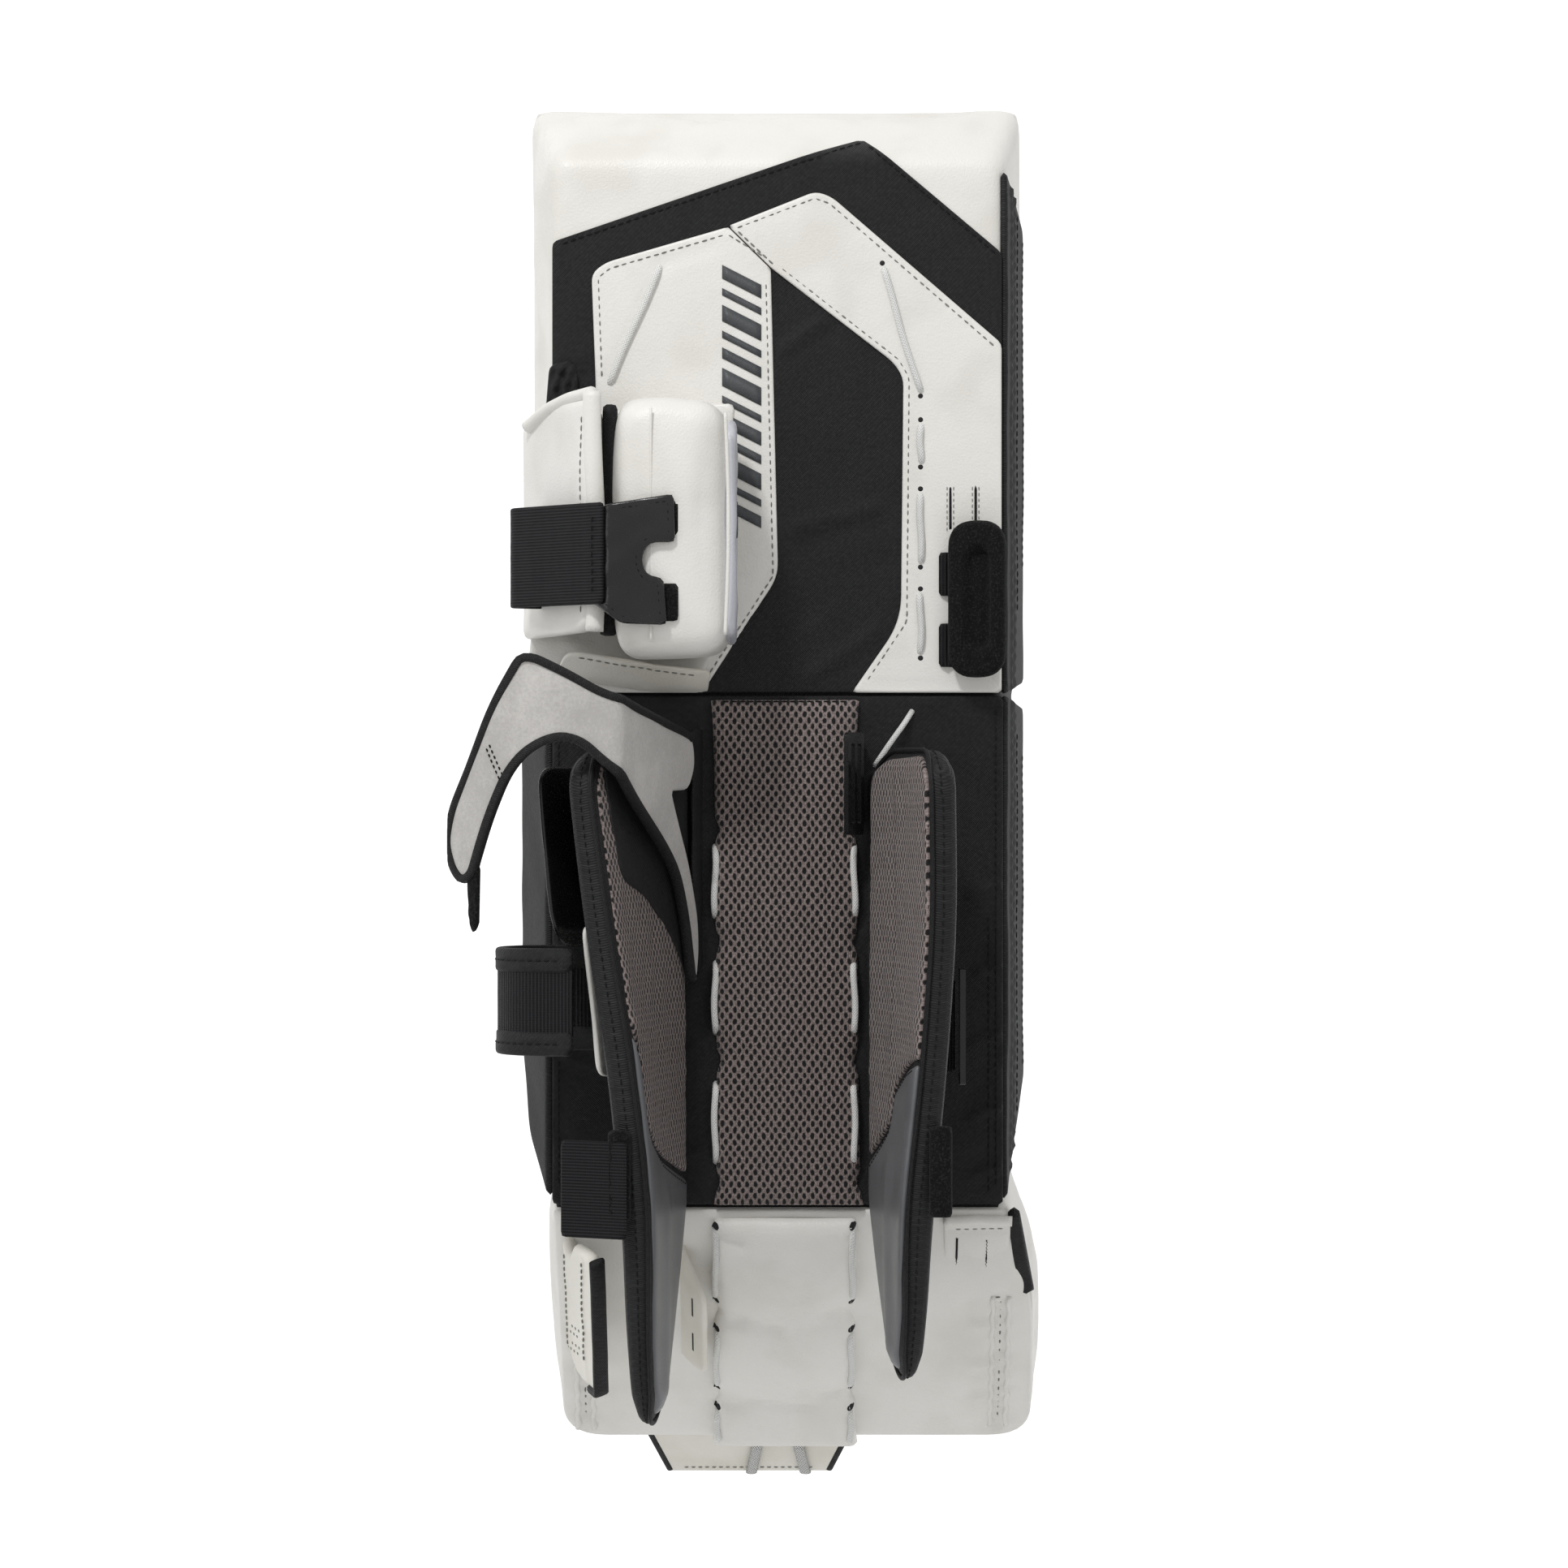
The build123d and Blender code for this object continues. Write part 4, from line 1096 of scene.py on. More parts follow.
def make_bed():
    bed = laced_panel(back, -140.5, 139.5, BED_PINCHES, 8.2, 39.0, lambda v: 1.5 - v / 140,
                      uneven(0.25, 30, 6))
    piece = bed.build("shin_bed_cover", MESH, "shin", 3.5)
    padded(piece, 0.75, "shin_bed_mesh", "shin_bed_foam")
    rows = []
    for x0, x1 in ((-LACE_X, -LACE_X), (LACE_X + 0.6, LACE_X + 1)):
        rows += [(bed, (x0, top), (x1, low)) for top, low in BED_ROWS]
    lace_run("shin_lace", rows, "shin", ["shin_laces"], dip=6)
    stitches("shin_bed_stitches", bed, [[(-36, 136), (37, 136)]], "shin", DARK_THREAD_AND_HOLE_SHADE)


# ---- Boot ----

BOOT_ROWS = [(-9, -58), (-83, -125), (-144, -166)]
BOOT_PINCHES = [-5, -70, -134]


def make_boot_back():
    puckers = []
    for x, lean in ((-116, 1), (124, -1)):
        puckers += [((x - 4 * lean, y), (x + 16 * lean, y + 5 * math.sin(y))) for y in range(-160, -60, 13)]
    side_seams = [[(-112, -58), (-113, -166)], [(121, -62), (122, -164)]]

    def relief(u, v, away):
        spots = np.stack([u, v], 1)
        seam = sum(np.exp(-((distance(spots, line, False) / 3.0) ** 2)) for line in side_seams)
        low = -1.0 * soft(u, v, 70, 8)
        return cross_folds(u, v, puckers, 1.8, 2.6) - 2.6 * seam + 1.5 * low

    def crown(u, v, away):
        return 3.0 + 3.0 * np.sin(np.pi * np.clip(-v / BOOT_LENGTH, 0, 1))

    outline = [(-127, -1, 3), (-125.5, -BOOT_LENGTH + 1, 24), (141, -BOOT_LENGTH + 1, 24),
               (139, -62, 40), (123, -1, 3)]
    panel = Panel(boot, rounded(outline), crown, -2, edge=9, relief=relief)
    dress(panel.build("boot_back_cover", WHITE, "boot", 3.6), "white_leather")
    for i, seam in enumerate(side_seams):
        for j, side in enumerate((-4.5, 4.5)):
            line = resample([(u + side, v) for u, v in seam], 3, False)
            line[:, 0] += 0.5 * np.sin(line[:, 1] * 0.5 + j)
            piece = tube(f"boot_piping_{i}_{j}", panel.on(line, -0.4), 1.5, WHITE, "boot", sides=10)
    edge = Panel(boot, rounded([(123, -1, 2), (129.5, -1, 2), (140, -62, 3), (128, -61, 2)]),
                 4.6, -3, edge=2.2, relief=uneven(0.5, 26, 12))
    dress(edge.build("boot_gusset_strip", BLACK, "boot", 2.5), "black_nylon")
    stitches("boot_side_stitches", panel, side_seams, "boot", pitch=6, length=3.4, radius=0.5)


def make_boot_pad():
    creases = [((-34, y), (-24, y - 3)) for y in (-14, -66, -74, -128, -138)]
    creases += [((34, y), (24, y - 3)) for y in (-14, -66, -74, -128, -138)]
    creases += [((-26, -72), (-4, -80)), ((6, -80), (28, -74)), ((-20, -136), (16, -140))]

    def relief(u, v, away):
        lobes = np.sin(np.pi * (v + 5) / 65) ** 2
        return cross_folds(u, v, creases, -2.2, 3.2) + 0.6 * soft(u, v, 34, 11) + 2.6 * lobes

    pad = laced_panel(boot, -172, -2.5, BOOT_PINCHES, 12.5, 39.5, lambda v: 0.5, relief)
    piece = pad.build("boot_pad", WHITE, "boot", 3.2)
    padded(piece, 0.8, "boot_pad_cover", "boot_pad_foam")
    rows = [(pad, (side * LACE_X, top), (side * LACE_X, low))
            for side in (-1, 1) for top, low in BOOT_ROWS]
    lace_run("boot_lace", rows, "boot", ["boot_laces"], dip=6)
    spots = [(side * LACE_X, y) for side in (-1, 1) for y in (-7, -60, -81, -127, -142)]
    eyelets("boot_eyelets", pad, spots, "boot", 2.0)


make_thigh_cover()
make_shin_cover()
make_boot_cover()
make_break_filler("knee_break_pleat", KNEE_Z, 0.0)
make_break_filler("boot_break_pleat", BREAK_Z, math.radians(42))
make_rolls()
make_gussets()
make_face_seams()
yoke_left, yoke_right = make_thigh_back()
make_print(yoke_left)
make_thigh_laces(yoke_left, yoke_right)
make_shin_back()
make_bed()
make_boot_back()
make_boot_pad()


# ---- Boot tabs, ankle wing, toe bridge and its lace ----


def make_ankle_wing():
    reach = 46.5
    outline = [(0, -96, 14), (18, -108, 16), (reach, -94, 5), (reach, 6, 10), (16, -9, 3), (10, -22, 3),
               (4, -14, 3), (0, -18, 3)]

    def relief(u, v, away):
        return 0.5 * soft(u, v, 26, 21) - 0.8 * np.exp(-(((u - 31) / 1.4) ** 2))

    wing = Panel(leaning((-120, 5), (-98, 46), -4), rounded(outline), -3.6, 3.6, edge=3.4, relief=relief)
    piece = wing.build("ankle_wing_cover", CREAM, "ankle_wing", 3)
    padded(piece, 0.6, "ankle_wing")
    path = [(reach - 12, -101), (reach + 0.5, -94), (reach + 1.5, -60), (reach + 1.5, 4)]
    edge_binding("ankle_wing_edge", wing, "ankle_wing", 2.6, 4.6, path)
    stitches("ankle_wing_stitches", wing, [[(31, -84), (31, -6)], [(4, -100), (4, -24)]],
             "ankle_wing", lift=-0.2)
    dots = [(9 + 5.2 * i + 2.6 * (j % 2), -92 + 6.4 * j + 2.6 * i) for i in range(3) for j in range(4)]
    eyelets("ankle_wing_holes", wing, dots, "ankle_wing", 0.8)


def make_boot_tabs():
    inner = Panel(leaning((-57, 3), (-46, 30), 3),
                  rounded([(0, -106, 3), (29, -98, 5), (29, -40, 8), (0, -22, 3)]),
                  1.6, -1.6, edge=1.5, relief=uneven(0.3, 20, 22))
    dress(inner.build("inner_tab_cover", CREAM, "inner_tab", 2.5), "white_leather", "boot_tab_inner")
    stitches("inner_tab_stitches", inner, [[(25.5, -94), (25.5, -44)], [(4, -100), (4, -28)]],
             "inner_tab", pitch=3.2, length=2.2)
    for i, (low, high) in enumerate(((-92, -74), (-66, -48))):
        slot = Panel(inner.place, oblong(17, low, 18.6, high, 0.8),
                     1.9, -1.9, edge=0.3)
        # The slot's dark fill is painted shade in the opening.
        slot.build(f"inner_tab_slot_{i}", DARK_THREAD_AND_HOLE_SHADE, "inner_tab", 2)

    def hemmed(u, v, away):
        return 0.5 * soft(u, v, 24, 24) - 0.9 * np.exp(-(((v + 13) / 1.6) ** 2))

    outer = Panel(boot, rounded([(88, -7, 3), (125, -5, 3), (125.5, -67, 6), (89, -69, 6)]),
                  4.4, 1.2, edge=1.6, relief=hemmed)
    dress(outer.build("outer_tab_cover", WHITE, TAB_BEND, 2.5), "white_leather", "boot_tab_outer")
    spots = outer.on(np.stack([np.linspace(87.5, 125.5, 14), np.full(14, -6.0)], 1), 0.5)
    tube("outer_tab_roll", spots, 3.4, WHITE, "outer_tab", sides=14, flat=0.8)
    stitches("outer_tab_stitches", outer, [[(92, -13), (123, -12)], [(92, -64), (122, -63)]], "outer_tab")
    for i, x in enumerate((95.5, 112.0)):
        slit = Panel(boot, oblong(x - 0.6, -18, x + 0.6, -58, 0.5),
                     4.85, 4.0, edge=0.3)
        # The slit's dark fill is painted shade in the opening.
        slit.build(f"outer_tab_slit_{i}", DARK_THREAD_AND_HOLE_SHADE, "outer_tab", 2)


def ribbon_tube(name, points, half, thick, material, body):
    return tube(name, resample(points, 1.4, closed=False), half, material, body, sides=14, flat=thick / half,
                across=(1, 0, 0))


def make_toe():
    shade_node("toe_bridge", CREAM)
    sides = [[(-78, 0), (-66, -45)], [(38, 0), (26, -45)]]
    for i, (start, end) in enumerate(sides):
        line = np.array([np.array(start) + (np.array(end) - start) * t for t in np.linspace(0.02, 0.98, 12)])
        points = bridge(line[:, 0], line[:, 1], np.full(12, -1.5))
        tube(f"toe_bridge_edge_{i}", points, 2.3, BLACK, "toe_bridge", sides=12)
    flat = Panel(bridge, rounded([(-77, -1), (37, -1), (26, -44), (-65, -44)], 3), 0.1, -3, edge=0.5)
    stitches("toe_bridge_stitches", flat, [[(-70, -4), (30, -4)], [(-60, -41), (20, -41)]], "toe_bridge",
             lift=0.0, pitch=4, length=2.6)
    backing = Panel(bridge, oblong(-46, -26, -28, -3, 3), -12.6, -14, edge=0.6)
    piece = backing.build("toe_bridge_backing", BLACK, "toe_bridge", 3)
    made = None
    for i, (x, lean) in enumerate(((-15.4, -3.5), (8.4, 4.0))):
        path = [(x + 1, -13, -7), (x, -13.5, -2), (x, -14.5, 2.4), (x + lean * 0.3, -22, 2.6),
                (x + lean, -44.5, 2.2), (x + lean * 1.1, -47.6, -0.6), (x + lean, -46.5, -4.6),
                (x + lean * 0.4, -32, -6.6), (x + 4 - 8 * i, -24, -8.5)]
        fine = rounded_open(np.array(path, float), 3)
        points = bridge(fine[:, 0], fine[:, 1], fine[:, 2])
        piece = ribbon_tube(f"toe_lace_{i}", points, 3.1, 0.9, DOTTED, "toe_bridge")
        made = made or piece
    t = np.linspace(0, 2 * math.pi, 40, endpoint=False)
    knot = bridge(-3.5 + 5.5 * np.cos(t), -26 + 4 * np.sin(2 * t), -9.5 + 1.8 * np.sin(t))
    tube("toe_lace_knot", knot, 1.6, DOTTED, "toe_bridge", closed=True)
    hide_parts("toe_lace")


# ---- Calf wraps ----

WRAP_BOW = 3.0
# For each wrap: its side, its hinge line, and (height, flare, half thickness) stations.
WRAPS = {
    "left": (-1, LEFT_ROOT_X, [(-250, 8, 3.5), (-234, 8, 6), (-138, 8, 8), (-60, 12, 8), (20, 19, 8),
                               (98, 25.5, 8), (108, 26, 6)]),
    "right": (1, RIGHT_ROOT_X, [(-226, 8, 3.5), (-212, 8, 6), (-138, 8, 8), (-60, 12, 8), (20, 15, 8),
                                (98, 15, 8), (108, 15, 6)]),
}


def wrap_surface(kind, facing_leg=1):
    """A calf wrap's middle surface: u runs out from its hinge line and v up. Heights grow
    towards the leg, or away from it when facing_leg is -1."""
    side, root, stations = WRAPS[kind]
    heights, flares, _ = np.array(stations, float).T

    def place(u, v, h):
        near = [np.interp(v + d, heights, flares) for d in (-24, -12, 0, 12, 24)]
        flare = np.radians(np.mean(near, axis=0))
        w = -facing_leg * h + WRAP_BOW * np.sin(np.pi * np.clip(u / 112, 0, 1))
        x = root + side * (u * np.sin(flare) + w * np.cos(flare))
        return np.stack([x, ROOT_Y - u * np.cos(flare) + w * np.sin(flare), v], -1)

    return place


def wrap_half(kind, v):
    heights, _, halves = np.array(WRAPS[kind][2], float).T
    return np.interp(v, heights, halves)


WRAP_EDGES = {
    "left": [(24, 109, 10), (3, 99, 10), (0, 20, 10), (0, -138, 20), (16, -190, 20), (34, -234, 12),
             (48, -251, 9), (66, -251, 9), (81, -234, 14), (101, -190, 30), (109, -138, 30),
             (113, -60, 30), (113, 20, 30), (109, 96, 12), (92, 109, 12)],
    "right": [(24, 109, 10), (3, 99, 10), (0, 20, 10), (0, -138, 20), (16, -180, 20), (34, -212, 12),
              (46, -227, 9), (66, -227, 9), (79, -212, 14), (97, -180, 30), (107, -138, 30),
              (113, -60, 30), (113, 20, 30), (109, 96, 12), (92, 109, 12)],
}
WRAP_MESH = {
    "left": [(24, 104, 9), (4, 95, 9), (3, 20, 4), (3, -122, 2), (60, -107, 12), (96, -90, 14),
             (97, -52, 10), (107.5, -36, 2), (107.5, 20, 10), (104, 94, 9), (90, 104, 9)],
    "right": [(24, 104, 9), (4, 95, 9), (3, 20, 4), (3, -113, 2), (48, -90, 10), (55, -70, 8),
              (85, -57.5, 8), (112, -53, 2), (112, 20, 10), (108, 94, 9), (90, 106, 9)],
}
WRAP_GUARD = {
    "left": [(3, -125, 2), (61, -110, 12), (98.5, -92, 14), (99.5, -54, 8), (108, -40, 2), (108, -66, 8),
             (104, -138, 30), (96, -188, 30), (77, -231, 14), (64, -246, 8), (49, -246, 8),
             (37, -231, 12), (19, -188, 20), (3, -138, 12)],
    "right": [(3, -116, 2), (49, -93, 10), (56, -73, 8), (85.5, -60.5, 8), (111, -56, 2), (111, -66, 8),
              (104, -138, 30), (92, -178, 30), (75, -209, 14), (64, -222, 8), (48, -222, 8),
              (36, -209, 12), (19, -178, 20), (3, -136, 12)],
}
GUARD_SEAMS = {"left": [(6, -128), (61, -113), (97, -95), (101, -58), (107, -44)],
               "right": [(6, -119), (49, -96), (57, -76), (86, -63.5), (106, -59)]}
WRAP_PATCH = {"left": (-86, -113, -114), "right": (82, -111, -112)}


def make_wrap(kind):
    body = f"{kind}_wrap"
    surface = wrap_surface(kind)

    def half(u, v, away=None):
        return wrap_half(kind, v)

    def quilt(u, v, away):
        return 0.35 * soft(u, v, 20, 31) + 0.6 * np.exp(-(((away - 8) / 5) ** 2))

    pillow = Panel(surface, rounded(WRAP_EDGES[kind]), half, lambda u, v: -half(u, v), edge=5, relief=quilt)
    piece = pillow.build(f"{kind}_wrap_pillow", BLACK, body, 4)
    padded(piece, 0.8, f"{kind}_wrap_foam", f"{kind}_wrap_cover", f"{kind}_wrap_binding")

    def pulled(u, v, away):
        return 0.5 * soft(u, v, 26, 33) - 1.0 * np.exp(-away / 3)

    liner = Panel(surface, rounded(WRAP_MESH[kind]), lambda u, v, away: half(u, v) + 2.4,
                  lambda u, v: half(u, v) - 2, edge=2.6, relief=pulled)
    dress(liner.build(f"{kind}_wrap_liner", MESH, body, 3.6), "mesh", f"{kind}_wrap_mesh")

    ridge = [(60, -135), (58, -232)] if kind == "left" else [(58, -118), (57, -208)]

    def moulded(u, v, away):
        off = distance(np.stack([u, v], 1), np.array(ridge, float), False)
        return 2.4 * np.exp(-((off / 11) ** 2)) + 1.6 * quarter(away, 16) - 0.8

    guard = Panel(surface, rounded(WRAP_GUARD[kind]), lambda u, v, away: half(u, v) + 2.2,
                  lambda u, v: half(u, v) - 2, edge=3.0, relief=moulded)
    dress(guard.build(f"{kind}_wrap_guard_cover", GREY, body, 3.4),
          "grey_leather", f"{kind}_wrap_guard")

    if kind == "left":
        # A black sheet over the mesh in the gap under the knee band: lining, and painted shade of the gap.
        dark = Panel(surface, rounded([(2, 98, 6), (20, 106, 8), (97, 101, 6), (97, 86, 8), (91, 41, 8),
                                       (55, 30, 10), (21, 6, 12), (1, -21, 4)]),
                     lambda u, v, away: half(u, v) + 3.6, lambda u, v: half(u, v) + 1.5, edge=1.2,
                     relief=uneven(0.4, 14, 35))
        dress(dark.build("left_wrap_lining_and_shade", BLACK, body, 4), "black_nylon")
    else:
        stitches("right_wrap_mesh_seam", liner, [[(46, 98), (46, -86)]], body, DARK_THREAD_AND_HOLE_SHADE, lift=-0.3)
    stitches(f"{kind}_wrap_guard_stitches", guard, [GUARD_SEAMS[kind]], body, DARK_THREAD_AND_HOLE_SHADE, pitch=4.4,
             length=3.2, radius=0.42)

    rim = resample(pillow.outline, 3.0)
    keep = rim[(rim[:, 0] > 40) | (rim[:, 1] > 90)]
    order = np.argsort(np.unwrap(np.arctan2(keep[:, 1] + 60, keep[:, 0] - 40)))
    stitches(f"{kind}_wrap_rim_stitches", pillow, [keep[order]], body, DARK_THREAD_AND_HOLE_SHADE, pitch=4.6, length=3.2,
             radius=0.5, lift=0.0)
    piping = pillow.place(rim[:, 0], rim[:, 1], wrap_half(kind, rim[:, 1]) * 0.82)
    tube(f"{kind}_wrap_piping", piping, 1.3, TAPE, body, sides=8, closed=True)
    x, y, z = WRAP_PATCH[kind]
    patch = Panel(facing(y), oblong(x - 6, z - 24, x + 6, z + 24, 2),
                  2.6, -3, edge=1.5, relief=uneven(0.6, 6, 34))
    dress(patch.build(f"{kind}_wrap_hooks", HOOK, body, 2.0), "hook_tape")


def make_wrap_root(kind):
    """The nylon web that hinges a wrap to the shin's back."""
    side, root, _ = WRAPS[kind]
    path = [(root - side * 9, 7.6), (root - side * 3, 4.5), (root + side * 1.0, -6.0)]
    place = along_path(path, 4)
    web = Panel(place, oblong(0, -134, place.length, 96, 4), 0.9, -0.9,
                edge=0.8, relief=uneven(0.5, 18, 41))
    body = ("shin", f"{kind}_wrap", (path[0][0], path[0][1], 0), (path[2][0], path[2][1], 0))
    dress(web.build(f"{kind}_wrap_web", BLACK, body, 3), "black_nylon")


def make_outer_flap():
    """The left wrap's glossy outer flap, which stands open behind the wrap."""
    place = wrap_surface("left", -1)
    outline = [(20, 100, 8), (92, 100, 12), (93, 18, 12), (84, 4, 8), (30, 4, 8), (16, 20, 8)]
    flap = Panel(place, rounded(outline), lambda u, v, away: 12.4 + 20 * (u - 18) / 74,
                 lambda u, v: 9.9 + 20 * (u - 18) / 74, edge=1.2,
                 relief=uneven(0.6, 30, 43))
    piece = flap.build("left_wrap_outer_flap", GLOSSY, "left_wrap", 4)
    padded(piece, 0.3, "left_wrap_flap")
    pale = Panel(place, rounded([(46, 12, 6), (86, 16, 8), (86, -64, 8), (50, -66, 6)]),
                 lambda u, v, away: 13.0 + 6 * (u - 50) / 46, lambda u, v: 10.5 + 6 * (u - 50) / 46, edge=1.2,
                 relief=uneven(0.5, 30, 44))
    dress(pale.build("left_wrap_outer_patch", WHITE, "left_wrap", 4), "white_leather")
    stitches("left_wrap_flap_stitches", flap, [[(24, 95), (88, 95), (88, 20), (80, 9), (32, 9)]], "left_wrap",
             DARK_THREAD_AND_HOLE_SHADE)


def make_knee_wrap():
    """The suede band inside the left wrap, whose free end folds over the wrap's top."""
    path = [(-48.2, -6.5), (-87.5, -103.9), (-93, -105.5), (-122, -110), (-152, -101), (-176, -80)]
    place = along_path(path, 14)
    outline = [(4, -18, 2), (9, -15, 3), (18, 18, 12), (30, 43, 12), (49, 58.6, 14), (87, 83, 20),
               (111, 102, 14), (123, 113, 10), (134, 116.4, 8), (144.4, 113.4, 8), (155.6, 106, 8),
               (164, 95, 8), (174, 74, 14), (186, 43, 7), (192.7, 39.5, 5), (199, 45.6, 8), (204, 59, 10),
               (200, 77, 14), (184, 104.5, 20), (171.5, 131.4, 20), (155.6, 157.4, 4), (148.3, 157, 4),
               (132, 149, 14), (111, 137, 14), (79, 129.7, 20), (41, 122.3, 14), (8, 116, 7), (5, 101, 8),
               (15, 87.7, 5), (38, 87, 3), (25, 64.6, 10), (15, 49.3, 10), (1, 17.6, 8), (0.5, 0, 8)]
    body = ("left_wrap", "knee_wrap", (-90, -103, 0), (-108, -107, 0))

    def relief(u, v, away):
        seam = distance(np.stack([u, v], 1), np.array([(175, 113), (164, 88)], float), False)
        return -0.5 * soft(u, v, 34, 51) + 0.9 * np.exp(-((seam / 1.3) ** 2))

    def outside(u, v, h):
        return place(u, v, -h)

    suede = Panel(outside, rounded(outline), 2.4, -0.4, edge=2.2, relief=relief)
    piece = suede.build("knee_wrap_suede", SUEDE, body, 3.2)
    padded(piece, 0.3, "knee_wrap_band", "knee_wrap_flap")
    lining = Panel(place, rounded(outline), 2.0, 0.2, edge=1.4, relief=uneven(0.3, 20, 52))
    dress(lining.build("knee_wrap_lining", BLACK, body, 4), "black_nylon")
    rim = suede.outline
    start = int(np.argmin(np.linalg.norm(rim - (8, -16), axis=1)))
    rim = np.roll(rim, -start, axis=0)
    stop = int(np.argmin(np.linalg.norm(rim - (9, 115.8), axis=1)))
    edge_binding("knee_wrap_binding", suede, body, 2.4, 2.7, rim[:stop])
    stitches("knee_wrap_seam", suede, [[(175, 111), (165, 90)], [(173.5, 113), (163.5, 92)]], body,
             DARK_THREAD_AND_HOLE_SHADE, pitch=3.2, length=2.2)
    tail = Panel(outside, rounded([(182, 50), (191, 50), (188, 12), (183, 14)], 2), 1.4, -2.4,
                 edge=1.2, relief=uneven(0.7, 7, 53))
    dress(tail.build("knee_wrap_tail", HOOK, "knee_wrap", 2.2), "hook_tape")
    inner = [(-45.5, 7.2), (-47, 0), (-49.9, -11.5)]
    web_place = along_path(inner, 3)
    web = Panel(web_place, oblong(0, -12, web_place.length, 121, 3),
                0.8, -0.8, edge=0.7, relief=uneven(0.4, 16, 54))
    dress(web.build("knee_wrap_web", BLACK, ("shin", "left_wrap", (-45.5, 7.2, 0), (-49.9, -11.5, 0)), 3),
          "black_nylon")


# ---- Straps ----


def strap(name, path, low, high, thick, material, body, nodes, bend=5):
    place = along_path(path, bend)
    panel = Panel(place, oblong(0, low, place.length, high, 2),
                  thick / 2, -thick / 2, edge=min(thick / 2, 1.2), relief=uneven(0.15, 18, 61))
    dress(panel.build(name, material, body, 3), "webbing", *nodes)
    return panel


def make_straps():
    path = [(-83.6, -33), (-140, -38), (-155, -62), (-142, -84), (-111, -93)]
    body = "upper_calf_strap"
    loop = strap("upper_strap_webbing", path, -44, -5, 2.4, WEBBING, body, ["upper_calf_strap"], 14)
    length = loop.place.length
    for label, low, high in (("top", -9, 4), ("foot", -53, -40)):
        edge = Panel(loop.place, oblong(0, low, length, high, 3), 2.4, -2.4,
                     edge=2.2, relief=uneven(0.5, 12, 62))
        dress(edge.build(f"upper_strap_{label}_edge", BLACK, body, 2.6), "black_nylon")
        stitches(f"upper_strap_{label}_stitches", edge,
                 [[(4, (low + high) / 2), (length - 4, (low + high) / 2)]], body, DARK_THREAD_AND_HOLE_SHADE)
    lower = strap("lower_strap_elastic", [(-82, -118), (-117, -101)], -147, -96, 2.5, ELASTIC,
                  "lower_calf_strap", ["lower_calf_strap"])
    stitches("lower_strap_stitches", lower, [[(31, -144), (31, -99)], [(35, -144), (35, -99)],
                                             [(4, -144), (4, -99)]], "lower_calf_strap", DARK_THREAD_AND_HOLE_SHADE)
    strap("ring_strap", [(76.3, -45), (92.2, -45)], -64, -14, 1.8, WEBBING, RING_BEND, ["ring_webbing"])
    strap("buckle_strap", [(43.2, 7.1), (43.2, -0.6)], 68, 114, 1.6, WEBBING, "shin", ["buckle_webbing"])
    lace = [(70.5, 7, 131), (66, 1.5, 124), (58, 0.5, 113), (52, 2, 104), (50, 6.5, 101)]
    tube("shin_top_lace", rounded_open(np.array(lace, float), 6), 1.5, LACE, "shin")


def shade_node(name, material):
    """Gives a CAD node its material and softens its edges."""
    node = NODES[name]
    node.data.materials.clear()
    node.data.materials.append(material)
    soften = node.modifiers.new("soft_edges", "BEVEL")
    soften.width = 0.8 * MM
    soften.segments = 3
    soften.limit_method = "ANGLE"
    node.modifiers.new("even_shading", "WEIGHTED_NORMAL")


# ---- Knee cradle ----


